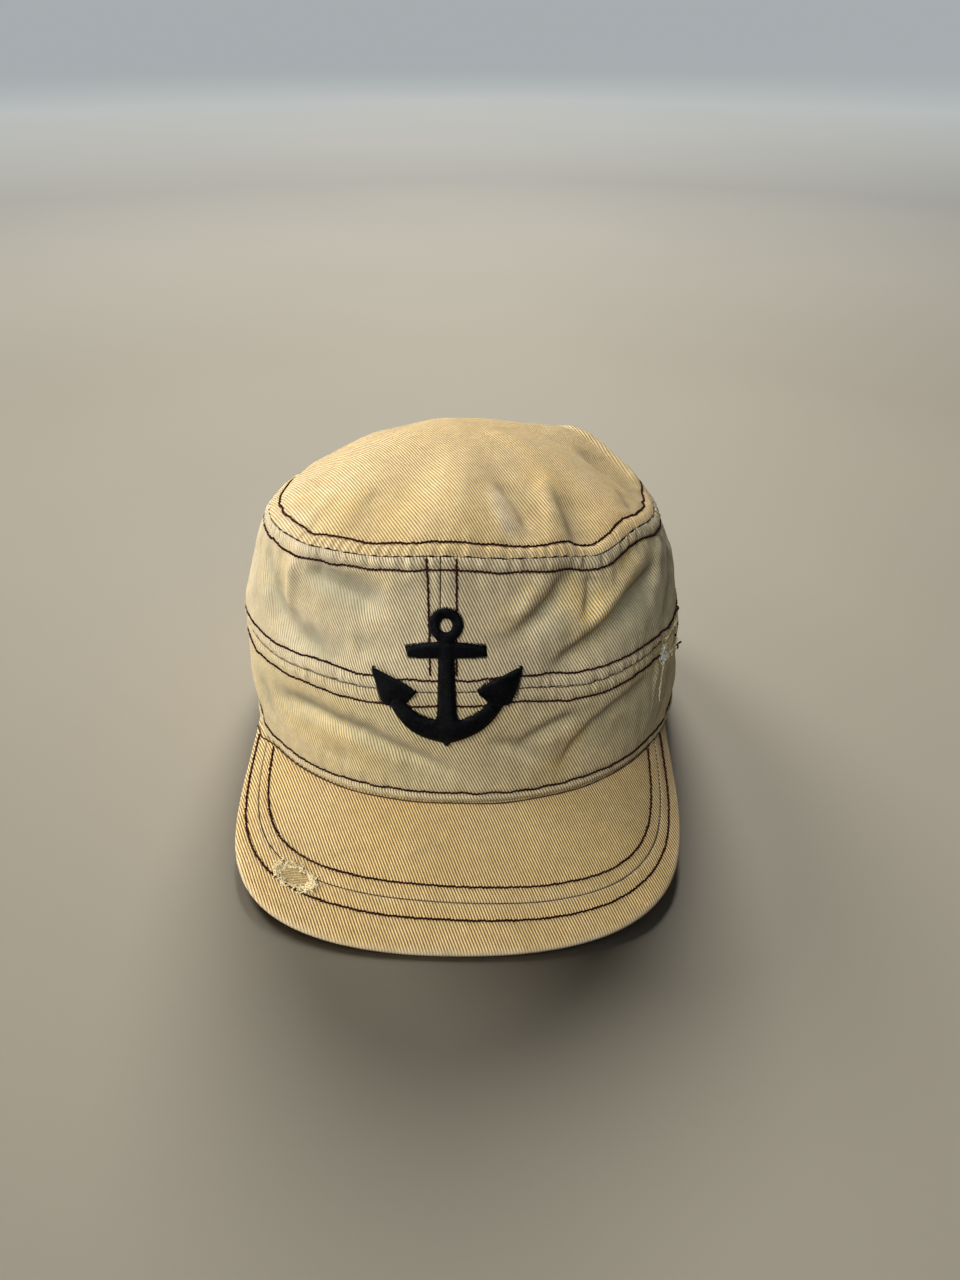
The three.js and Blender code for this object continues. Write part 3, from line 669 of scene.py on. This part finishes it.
def shapeTop(piece):
    w = topCloth
    points = toCap(meshPoints(piece))
    x, y, z = points.T
    turn = np.arctan2(x, -y)
    radius = np.hypot(x, y)
    rim, middle = atTurn(turn, edgeRadius, midRadius)
    distance = np.maximum(rim - radius, 0) * overStretch
    around = aroundOf(turn) * rim / middle
    lift = swellSum(x, y, w["swells"])
    steps = (slopeStep, -slopeStep)
    behind, before = (creaseSum(x, y + step, w["creases"]) for step in steps)
    right, left = (creaseSum(x + step, y, w["creases"]) for step in steps)
    lift += (behind + before) / 2
    slope = ((before - behind) * 0.5 + right - left) / (2 * slopeStep)  # plus where it leans off the light
    lift *= np.clip((distance - 1.5) / 8, 0.12, 1)
    dome = w["dome"] * (1 - (radius / rim) ** 2)
    lift += dome + seamPucker(around, distance, pucker["overGap"], 71, 0.9)
    upward = unitRows(np.stack([x / 120 ** 2, y / 130 ** 2, np.full(len(x), 0.011)], 1))
    placeCloth(piece, points + upward * lift[:, None])
    setWeave(piece, x, y * 1.06 + z * 0.5)
    crest = np.clip((lift - dome) / crestHeight, -1, 1)
    frontLow = bell(distance, 14, 6) * unit(-y / 60)
    # painted shading: the top's colour is darker on slopes facing off the light and towards the front
    setShades(
        piece, glow=creaseSum(x, y, w["ridgeHighlights"]),
        wear=(w["seamWear"] * bell(distance - 0.6, 1.0) + w["crestWearAndHighlight"] * np.maximum(crest, 0)
              + creaseSum(x, y, w["pales"])),
        stain=stainSum(x, y, w["stains"]) + w["hollowShade"] * np.maximum(-crest - 0.1, 0),
        fold=w["tone"] + w["shading"] * slope + w["shadeFront"] * frontLow * unit((40 - x) / 30),
        calm=0.1 + 0.35 * unit((-x - 30) / 30) + 0.55 * unit((x - 50) / 16))
    piece.data.materials.append(topTwill)


def lineAway(x, y, line):  # plan distance to the points of a line
    best = np.full(len(x), 1e9)
    for spot in line[::3]:
        best = np.minimum(best, np.hypot(x - spot[0], y - spot[1]))
    return best


# stitch rows from the seam: at the right side, at the front, and how much more on the left
peakRows = {"inner": (3.6, 5.0, 0), "outer": (2.6, 5.1, 1.6)}


def besideLine(line, sideGap, frontGap, leftMore, way):  # plus way goes outwards
    along = unitRows(np.gradient(line, axis=0))
    out = np.stack([along[:, 1], -along[:, 0]], 1)
    if np.mean(np.sum(out * (line - np.array(peakMiddle)), axis=1)) < 0:
        out = -out
    gap = sideGap + (frontGap - sideGap) * np.abs(out[:, 1]) + leftMore * np.maximum(-out[:, 0], 0)
    return line + way * out * gap[:, None]


seamLine = peakCurve(*peakCurves["seam"])
edgeLine = peakCurve(*peakCurves["edge"])
innerRow = besideLine(seamLine, *peakRows["inner"], -1)
outerRow = besideLine(seamLine, *peakRows["outer"], 1)
peakFray = {"x": -55.6, "y": -116.2, "turn": -31, "halfLong": 7.7, "halfWide": 3.1, "fibres": 230}
peakCloth = {
    "slope": 26, "swell": 0.12, "rowDepth": 0.28, "seamRise": 0.22, "seamDepth": 0.1,
    "patchDepth": 0.3, "patchLip": 0.3,
    # painted shade: the peak's colour is darker towards its right side
    "edgeWear": 0.9, "seamWear": 0.3, "stain": 0.1, "tone": 0.59, "shadeRight": -0.12,
}


def frayPlace(x, y):  # how far out of the worn patch's middle, 1 is its edge
    c, s = cos(radians(peakFray["turn"])), sin(radians(peakFray["turn"]))
    x, y = x - peakFray["x"], y - peakFray["y"]
    return np.hypot((x * c + y * s) / peakFray["halfLong"], (y * c - x * s) / peakFray["halfWide"])


def shapePeak(piece):
    w = peakCloth
    points = toCap(meshPoints(piece))
    x, y = points[:, 0], points[:, 1]
    slope = radians(w["slope"])
    lines = (seamLine, innerRow, outerRow, edgeLine)
    seamAway, innerAway, outerAway, edgeAway = (lineAway(x, y, line) for line in lines)
    around = np.arctan2(x, -(y - peakMiddle[1])) * 80
    lift = w["swell"] * swell(x, y, 34, 9) - w["rowDepth"] * (bell(innerAway, 0.9) + bell(outerAway, 0.9))
    lift += w["seamRise"] * bell(seamAway, 2.6) - w["seamDepth"] * bell(seamAway, 0.7)
    lift += 0.05 * bell(seamAway, 4) * ripple(around, 4, 81)
    patch = frayPlace(x, y)
    lift += w["patchLip"] * bell(patch - 1.1, 0.16) - w["patchDepth"] * unit((1.1 - patch) / 0.35)
    isTop = piece.name != "peak_underside"
    if isTop:
        points = points + lift[:, None] * np.array([0, -sin(slope), cos(slope)])
    placeCloth(piece, points)
    x, y = points[:, 0], points[:, 1]
    setWeave(piece, x, y / cos(slope))
    setShades(
        piece, fray=unit((0.9 - patch) * 4) * isTop, calm=0.9 * bell(edgeAway, 1.5),
        wear=(w["edgeWear"] * bell(edgeAway, 1.2) + w["seamWear"] * bell(seamAway, 1.2)
              + isTop * bell(patch - 1, 0.2)),
        stain=w["stain"] * np.maximum(swell(x, y, 30, 12), 0),
        fold=w["tone"] + w["shadeRight"] * unit((x - 45) / 40))
    piece.data.materials.append(peakTwill)


panels = {}
clothOf = {
    "upper_band_left": "upper_cloth_left", "upper_band_right": "upper_cloth_right",
    "lower_band": "lower_cloth", "crown_top": "top_cloth",
    "peak_inner_panel": "peak_cloth", "peak_border": "peak_border_cloth", "peak_facing": "peak_underside",
}
for nodeName, pieceName in clothOf.items():
    isPeak = pieceName.startswith("peak")
    piece = panels[pieceName] = refineNode(nodeName, pieceName, crease=0.4 if isPeak else 0.55)
    if isPeak:
        shapePeak(piece)
    elif pieceName == "top_cloth":
        shapeTop(piece)
    else:
        shapeWall(piece, pieceName.startswith("upper"))
print("cloth panels shaped")

# stitches, laid along rays cast onto the shaped cloth
clothSurface = {name: surfaceOf(piece) for name, piece in panels.items()}
upperCloth = ["upper_cloth_left", "upper_cloth_right"]
wallPanels = [*upperCloth, "lower_cloth"]
peakPanels = ["peak_cloth", "peak_border_cloth"]
rowTurns = np.linspace(-pi, pi, 721)
looks = {  # thread, and each stitch's pitch, width, overlap, wobble and slant
    "stitch": (stitchThread, 1.5, 0.74, 1.25, 0.12, 0.2),
    # the seam and joint looks are those dark strands of painted shade
    "seam": (seamShadowThread, 2.1, 0.24, 1.02, 0.04, 0.02),
    "joint": (seamShadowThread, 2.1, 0.6, 1.3, 0.02, 0.0),
}


def makeStitch(length, width):  # one stitch along x, its ends dipping into the cloth
    deselectAll()
    alongX = (0, pi / 2, 0)
    bpy.ops.mesh.primitive_cylinder_add(vertices=6, radius=width / 2, depth=length, rotation=alongX)
    stitch = bpy.context.object
    bpy.ops.object.transform_apply(location=True, rotation=True, scale=True)
    bpy.ops.object.mode_set(mode="EDIT")
    for cut in (-0.3, 0.0, 0.3):
        bpy.ops.mesh.select_all(action="SELECT")
        bpy.ops.mesh.bisect(plane_co=(cut * length, 0, 0), plane_no=(1, 0, 0))
    bpy.ops.object.mode_set(mode="OBJECT")
    points = meshPoints(stitch)
    t = points[:, 0] / (length / 2)
    points[:, 1:] *= np.where(np.abs(t) > 0.9, 0.5, 1)[:, None]
    points[:, 2] += width * (0.55 - 0.62 * t ** 2)
    faces = [tuple(p.vertices) for p in stitch.data.polygons]
    bpy.data.objects.remove(stitch)
    return points, faces


def sewRow(name, hits, look="stitch", skip=None):
    thread, pitch, width, overlap, wobble, slant = looks[look]
    hits = [hit for hit in hits if hit[1] is not None]
    path = np.array([capToWorld @ hit[1] for hit in hits])
    ups = np.array([(capToWorld.to_3x3() @ hit[2]).normalized() for hit in hits])
    lengths = lengthsAlong(path)
    even = np.linspace(0, lengths[-1], max(int(lengths[-1] / (pitch * mm)), 1) + 1)
    spots, ups = columnsAt(even, lengths, path), columnsAt(even, lengths, ups)
    base, faces = makeStitch(pitch * overlap * mm, width * mm)
    allPoints, allFaces = [], []
    for start, end, up in zip(spots, spots[1:], ups):
        middle = (start + end) / 2
        if skip is not None and skip(*toCap(middle)[:2]):
            continue
        along = (end - start) / np.linalg.norm(end - start)
        side = np.cross(up, along)
        side /= np.linalg.norm(side)
        lean = uniform(-0.5, 0.5) * slant + slant
        c, s = cos(lean), sin(lean)
        along, side = along * c + side * s, side * c - along * s
        middle = middle + side * uniform(-wobble, wobble) * mm
        size = uniform(0.9, 1.1)
        turned = np.stack([along, side * size, np.cross(along, side) * size])
        allFaces += [tuple(len(allPoints) * len(base) + k for k in face) for face in faces]
        allPoints.append(middle + base @ turned)
    mesh = bpy.data.meshes.new(name)
    mesh.from_pydata(np.concatenate(allPoints).tolist(), [], allFaces)
    mesh.materials.append(thread)
    row = newObject(name, mesh)
    activate(row)
    bpy.ops.object.shade_smooth()
    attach(row, "root")


def onWall(names, turn, height):  # nearest cloth from outside; a ray into a seam's gap is nudged off it
    best = (1e9, None, None)
    for nudge, lift in ((0, 0), (0, 0.45), (0, -0.45), (0.006, 0.1), (-0.006, 0.1)):
        best = closest([best, *(wallRay(clothSurface[name], turn + nudge, height + lift) for name in names)])
        if best[0] < rayReach:
            break
    return best


def dropOn(names, x, y):
    return closest([rayOn(clothSurface[name], (x, y, rayStart), (0, 0, -1)) for name in names])


def waver(seed):  # a row of stitches is never quite even
    return 0.22 * ripple(aroundOf(rowTurns), 16, seed)


def inTear(x, y):  # the lower row is gone across the torn strip
    return sideTear["turn"] - 0.5 < degrees(atan2(x, -y)) < sideTear["turn"] + 10.5


def inFray(x, y):  # a few stitches of the outer row hold on in the worn patch
    return frayPlace(x, y) < 1.1 and random.random() < 0.75


def wallRow(name, names, heights, **options):
    sewRow(name, [onWall(names, t, h) for t, h in zip(rowTurns, heights)], **options)


def ringRow(name, names, turns, reach, **options):  # in plan
    sewRow(name, [dropOn(names, r * sin(t), -r * cos(t)) for t, r in zip(turns, reach)], **options)


def uprightRow(name, middle, offset, lowEnd):  # beside the front or the back seam
    hits = []
    for share in np.linspace(0, 1, 60):
        turn = radians(middle) + offset * (1.06 - 0.1 * share) / 92
        low, high = atTurn(turn, midTable + lowEnd, topTable - 0.6)
        hits.append(onWall(upperCloth, turn, high + (low - high) * share))
    sewRow(name, hits)


def peakRow(name, line, **options):
    rim = atTurn(np.arctan2(line[:, 0], -line[:, 1]), rimOuter)[0]
    outside = line[np.hypot(line[:, 0], line[:, 1]) > rim + 0.5]
    sewRow(name, [dropOn(peakPanels, *spot) for spot in outside], **options)


def seamRow(name, heights, **options):  # painted shade: a dark strand in the gap between two panels stands in for the shadow there
    hits = []
    for t, h in zip(rowTurns, heights):
        low, high = (onWall([*wallPanels, "top_cloth"], t, h + lift) for lift in (-0.9, 0.9))
        if low[1] is not None and high[1] is not None:
            normal = (low[2] + high[2]).normalized()
            hits.append((0, (low[1] + high[1]) / 2 - normal * 0.25, normal))
    sewRow(name, hits, "seam", **options)


rimOuter = np.array([outerRadius("lower_band", t, 1.0) for t in turnTable])
mids, tops, edges = atTurn(rowTurns, midTable, topTable, edgeRadius)
wallRow("stitches_under_top", upperCloth, tops - pucker["topGap"] + waver(1))
wallRow("stitches_over_mid", upperCloth, mids + pucker["stitchGap"] + waver(2))
wallRow("stitches_under_mid", ["lower_cloth"], mids - pucker["stitchGap"] + waver(3), skip=inTear)
wallRow("stitches_base", ["lower_cloth"], pucker["baseGap"] + waver(4))
ringRow("stitches_on_top", ["top_cloth"], rowTurns, edges - pucker["overGap"] / overStretch + waver(5))
uprightRow("stitches_front_left", frontSeam, -pucker["frontGap"], 6.5)
uprightRow("stitches_front_right", frontSeam, pucker["frontGap"], 6.5)
uprightRow("stitches_back_left", frontSeam + 180, pucker["frontGap"], 1.0)
uprightRow("stitches_back_right", frontSeam + 180, -pucker["frontGap"], 1.0)
peakRow("stitches_peak_inner", innerRow)
peakRow("stitches_peak_outer", outerRow, skip=inFray)
# painted shade: dark strands along the peak's seam and where the peak meets the band stand in for the shadow
# in these joins
peakRow("seam_shadow_peak", seamLine, look="seam", skip=lambda x, y: inFray(x, y) or inFray(x, y))
baseTurns = np.linspace(-1.2, 1.2, 300)
ringRow("seam_shadow_base", peakPanels, baseTurns, atTurn(baseTurns, rimOuter)[0] + 0.15, look="joint")
seamRow("seam_shadow_top", tops)
seamRow("seam_shadow_mid", mids, skip=inTear)
print("stitches sewn")

# the emblem, a plain anchor in satin stitch
emblem = {
    "x": -3, "y": 46, "pitch": 0.42, "thread": 0.26, "lean": 10, "rise": 0.06, "wallRadius": 90,
    "arcs": [  # middle's height, radius, stretch sideways, start, end, half width, less at the ends, steps
        (17.3, 4, 1, 0, 360, 1.7, 0, 24),
        (-1.5, 16.5, 1.12, 200, 340, 4, 1.6, 12),
    ],
    "strokes": [  # right and up from the emblem's middle, and half width
        [(-13.2, 8.6, 2.2), (-6, 9.2, 2.5), (0, 9.3, 2.6), (6, 9.2, 2.5), (13.2, 8.6, 2.2)],
        [(0, 13.7, 2.3), (0, 6, 2.6), (0, -2, 2.9), (0, -10, 3.2), (0, -17, 3.8)],
        [(-10.5, -4.6, 0.6), (-14, -4.6, 3.4), (-19, -5.6, 5.6), (-25, 2.6, 0.5)],
        [(10.5, -4.6, 0.6), (14, -4.6, 3.4), (19, -5.6, 5.6), (25, 2.6, 0.5)],
        [(0, -14.5, 5.2), (0, -19, 3.2), (0, -23, 0.4)],
    ],
}


def threadPiece(name, threads, radius, material):  # tapered threads along paths in world metres
    data = bpy.data.curves.new(name, "CURVE")
    data.dimensions = "3D"
    data.bevel_depth = 1.0
    data.bevel_resolution = 1
    data.use_fill_caps = True
    for path, size in threads:
        spline = data.splines.new("POLY")
        spline.points.add(len(path) - 1)
        for i, spot in enumerate(path):
            spline.points[i].co = (*spot, 1)
            fade = min(1, 2.5 * min(i, len(path) - 1 - i) / len(path) + 0.45)
            spline.points[i].radius = radius * size * fade * mm
    activate(newObject(name, data))
    bpy.ops.object.convert(target="MESH")
    piece = bpy.context.object
    bpy.ops.object.mode_set(mode="EDIT")
    bpy.ops.mesh.select_all(action="SELECT")
    bpy.ops.mesh.normals_make_consistent(inside=False)
    bpy.ops.object.mode_set(mode="OBJECT")
    bpy.ops.object.shade_smooth()
    piece.data.materials.clear()
    piece.data.materials.append(material)
    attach(piece, "root")
    return piece


emblemPad = refineNode("front_emblem", "emblem_pad", levels=1, crease=0.2)
emblemPad.data.materials.append(emblemThread)
clothSurface["emblem_pad"] = surfaceOf(emblemPad)


def onEmblem(u, v, lift):
    x, y = emblem["x"] + u, emblem["y"] + v
    turn = x / emblem["wallRadius"]
    height = realHeight(turn, y)
    for _ in range(12):  # closes in on the turn at which the wall stands x to the side
        turn += (x - onWall(wallPanels, turn, height)[1].x) / emblem["wallRadius"]
    spot = onWall(["emblem_pad", *wallPanels], turn, realHeight(turn, y))[1]
    out = Vector((sin(turn), -cos(turn), 0.08)).normalized()
    return capToWorld @ (spot + out * lift)


def arcStroke(v, radius, wider, start, end, half, less, steps):
    shares = np.linspace(0, 1, steps + 1)
    angles = np.radians(start + (end - start) * shares)
    halves = half - less * np.abs(2 * shares - 1)
    return np.stack([radius * wider * np.cos(angles), v + radius * np.sin(angles), halves], 1)


def satinStroke(stroke):
    line = np.array(stroke, dtype=float)
    lengths = lengthsAlong(line[:, :2])
    count = int(lengths[-1] / emblem["pitch"])
    threads = []
    for i in range(count + 1):
        at = lengths[-1] * i / count
        u, v, half = columnsAt(at, lengths, line)
        ahead = columnsAt(at + 0.4, lengths, line) - columnsAt(at - 0.4, lengths, line)
        heading = atan2(ahead[1], ahead[0]) + pi / 2 + radians(emblem["lean"])
        half = half * uniform(1.0, 1.03) + 0.15
        shares = np.linspace(-1, 1, 9) * half
        path = [onEmblem(u + share * cos(heading), v + share * sin(heading),
                         emblem["rise"] if abs(share) < 0.95 * half else 0.0) for share in shares]
        threads.append((path, uniform(0.92, 1.08)))
    return threads


satin = []
for stroke in (*(arcStroke(*arc) for arc in emblem["arcs"]), *emblem["strokes"]):
    satin += satinStroke(stroke)
satinPiece = threadPiece("emblem_satin", satin, emblem["thread"], emblemThread)
print("emblem sewn", len(satin))


# worn places
def curl(start, along, up, length, rise, bend, steps=6):  # one loose fibre
    t = np.linspace(0, 1, steps)[:, None]
    side = np.cross(up, along) * bend * length
    return toWorld(start + along * length * t + side * np.sin(t * 3) + up * rise * np.sin(t * 2.6))


def onPeak(x, y):
    return [np.array(found) for found in dropOn(peakPanels, x, y)[1:]]


def frayPeak():
    p = peakFray
    turn = radians(p["turn"])
    c, s = cos(turn), sin(turn)
    fibres, wefts = [], []
    for _ in range(p["fibres"]):
        angle, out = uniform(0, 2 * pi), uniform(0.86, 1.16)
        longWay, wideWay = p["halfLong"] * out * cos(angle), p["halfWide"] * out * sin(angle)
        start, up = onPeak(p["x"] + c * longWay - s * wideWay, p["y"] + s * longWay + c * wideWay)
        heading = angle + turn + random.choice((1.2, -1.2, 2.6, 0.4)) + uniform(-0.7, 0.7)
        along = np.array([cos(heading), sin(heading), 0])
        along -= up * np.dot(along, up)
        length, rise, bend = uniform(0.9, 2.1), uniform(0.15, 0.5), uniform(-0.5, 0.5)
        fibres.append((curl(start + up * 0.15, along, up, length, rise, bend), uniform(0.7, 1.3)))
    for row in np.arange(-0.8, 0.81, 0.1):
        y = p["y"] + row * 8.5
        xs = [x for x in np.arange(p["x"] - 12, p["x"] + 12, 0.8) if frayPlace(x, y) < 0.98]
        if len(xs) < 3:
            continue
        path = []
        for x in xs:
            spot, up = onPeak(x, y + uniform(-0.08, 0.08))
            path.append(spot + up * 0.12)
        wefts.append((toWorld(np.array(path)), uniform(0.85, 1.1)))
    for piece in (threadPiece("fray_fibres_peak", fibres, 0.2, frayThread),
                  threadPiece("fray_wefts_peak", wefts, 0.3, weftThread)):
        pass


def wallFrame(turn, height):  # spot, way round, way up and way out
    spot, up = (np.array(found) for found in onWall(wallPanels, turn, realHeight(turn, height))[1:])
    side = np.array([cos(turn), sin(turn), 0])
    side -= up * np.dot(side, up)
    side /= np.linalg.norm(side)
    return spot, side, np.cross(up, side), up


def wallCurl(turn, height, heading, length, rise, bend, lift=0.05, steps=6):
    start, side, above, up = wallFrame(turn, height)
    along = side * cos(heading) + above * sin(heading)
    return curl(start + up * lift, along, up, length, rise, bend, steps)


def fraySide():
    whites, tans = [], []
    edge = sideTear["turn"]
    for i in range(sideTear["fibres"]):
        kind = ("slit", "tuft", "border")[i % 3]
        if kind == "slit":
            height = 36 - 17 * random.random() ** 1.4
            turn = radians(edge - 1.2 - (31 - height) * 0.12) + uniform(-0.002, 0.002)
            length, rise = uniform(0.7, 1.6), uniform(0.05, 0.2)
            heading = random.choice((1.57, -1.57)) + uniform(-0.25, 0.25)
        elif kind == "tuft":
            height = 36.3 + random.gauss(0, 1.5)
            turn = radians(edge - 0.5 + random.gauss(0, 1.0))
            length, rise = uniform(0.9, 1.8), uniform(0.2, 0.9)
            heading = uniform(0, 2 * pi)
        else:
            angle = uniform(0, 2 * pi)
            height = 38.5 + 5.2 * sin(angle)
            turn = radians(edge + 5 + 6.0 * cos(angle))
            length, rise = uniform(0.8, 2.4), uniform(0.2, 0.8)
            heading = uniform(0, 2 * pi)
        bend = uniform(-0.5, 0.5) * (2 if kind == "tuft" else 1)
        path = wallCurl(turn, height, heading, length, rise, bend)
        (whites if kind == "tuft" else tans).append((path, uniform(0.7, 1.3)))
    for row in range(12):  # bare wefts across the torn strip
        path = []
        for share in np.linspace(0, 1, 12):
            turn = radians(edge - 0.5 + 9 * share)
            start, *_, up = wallFrame(turn, 34.4 + row * 0.68 + uniform(-0.1, 0.1))
            path.append(start + up * 0.12)
        tans.append((toWorld(np.array(path)), 1.3))
    stubs = [(wallCurl(radians(turn), height, heading, length, rise, 0.2, 0, 8), 1.0)
             for turn, height, heading, length, rise in sideTear["stubs"]]
    for piece in (threadPiece("fray_white_side", whites, 0.14, whiteThread),
                  threadPiece("fray_tan_side", tans, 0.17, frayThread),
                  threadPiece("loose_stitches_side", stubs, 0.4, stitchThread)):
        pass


frayPeak()
fraySide()
print("worn places made")

# floor, light and camera
studio = {
    "floor": (0.57, 0.52, 0.415), "sky": 0.032, "skyColour": (0.80, 0.89, 1.0),
    "farGlow": 0.44, "farGlowColour": (0.86, 0.93, 0.96), "farGlowReach": (0.5, 2.4),  # painted light: the floor glows more with distance, so the far floor stays pale; the same pale is the wall the camera sees
    "dimReach": (0.22, 1.3), "dim": 0.32,  # painted shade: the floor's colour darkens away from the cap, evening out the window light on it
    "lights": [  # name, spot, size, power, colour and whether it is kept off the floor
        ("window", (0.0, 1.86, 1.66), 1.0, 43.0, (1.0, 0.98, 0.95), False),
        ("window_left", (-1.2, 1.36, 1.6), 0.95, 17.0, (1.0, 0.98, 0.94), False),
        ("low_left", (-1.3, -0.1, 0.38), 0.45, 13.0, (1.0, 0.97, 0.92), True),
        ("front_left", (-0.55, -0.75, 1.1), 0.6, 8.0, (1.0, 0.97, 0.92), True),
        ("front", (-0.35, -1.22, 0.9), 0.9, 7.2, (0.9, 0.95, 1.0), True),
    ],
}
cameraView = {"aim": (6.8, 22.25, 28.3), "away": 418.1, "elevation": 34.93, "side": 0.93, "lens": 27.03}


def makeFloor():
    deselectAll()
    bpy.ops.mesh.primitive_plane_add(size=60)
    floor = bpy.context.object
    floor.name = "floor"
    material, tree, shader, place = newMaterial("floor_paper")
    away = addNode(tree, "VectorMath", {0: place}, operation="LENGTH").outputs["Value"]
    cloud = remap(noiseOf(place, 3), 0.3, 0.7, 0.97, 1.03)
    # painted shade: the floor's colour darkens away from the cap
    dim = remap(away, *studio["dimReach"], 1.0, studio["dim"])
    colour = mixColours(1.0, mixColours(1.0, studio["floor"], cloud, "MULTIPLY"), dim, "MULTIPLY")
    # painted light: the floor glows more with distance
    farGlow = remap(away, *studio["farGlowReach"], 0.0, studio["farGlow"])
    plug(shader, {"Base Color": colour, "Roughness": 0.75,
                  "Emission Color": studio["farGlowColour"], "Emission Strength": farGlow})
    floor.data.materials.append(material)
    unlit = bpy.data.collections.new("away_from_fill_light")
    unlit.objects.link(floor)
    unlit.collection_objects[0].light_linking.link_state = "EXCLUDE"
    return unlit


def areaLight(name, spot, size, power, colour, offFloor):
    data = bpy.data.lights.new(name, "AREA")
    data.shape = "DISK"
    data.size, data.energy, data.color = size, power, colour
    light = newObject(name, data)
    light.location = spot
    light.rotation_euler = (Vector((0, 0, 0.05)) - Vector(spot)).to_track_quat("-Z", "Y").to_euler()
    if offFloor:
        light.light_linking.receiver_collection = awayFromFill


def makeSky():  # dim light all round, seen as a pale wall
    world = bpy.data.worlds.new("studio")
    world.use_nodes = True
    bpy.context.scene.world = world
    tree = world.node_tree
    glow = tree.nodes["Background"]
    plug(glow, {"Color": studio["skyColour"], "Strength": studio["sky"]})
    wall = addNode(tree, "Background", {"Color": studio["farGlowColour"], "Strength": studio["farGlow"]})
    path = addNode(tree, "LightPath")
    mix = addNode(tree, "MixShader", {
        0: path.outputs["Is Camera Ray"], 1: glow.outputs["Background"], 2: wall.outputs["Background"]})
    plug(tree.nodes["World Output"], {"Surface": mix.outputs["Shader"]})


def makeCamera():
    e, a = radians(cameraView["elevation"]), radians(cameraView["side"])
    back = Vector((sin(a) * cos(e), -cos(a) * cos(e), sin(e)))
    data = bpy.data.cameras.new("camera")
    data.lens = cameraView["lens"]
    camera = newObject("camera", data)
    camera.location = (Vector(cameraView["aim"]) + back * cameraView["away"]) * mm
    camera.rotation_euler = (pi / 2 - e, 0, a)
    bpy.context.scene.camera = camera


awayFromFill = makeFloor()
for light in studio["lights"]:
    areaLight(*light)
makeSky()
makeCamera()
bpy.context.scene.view_settings.view_transform = "Standard"
print("studio set")
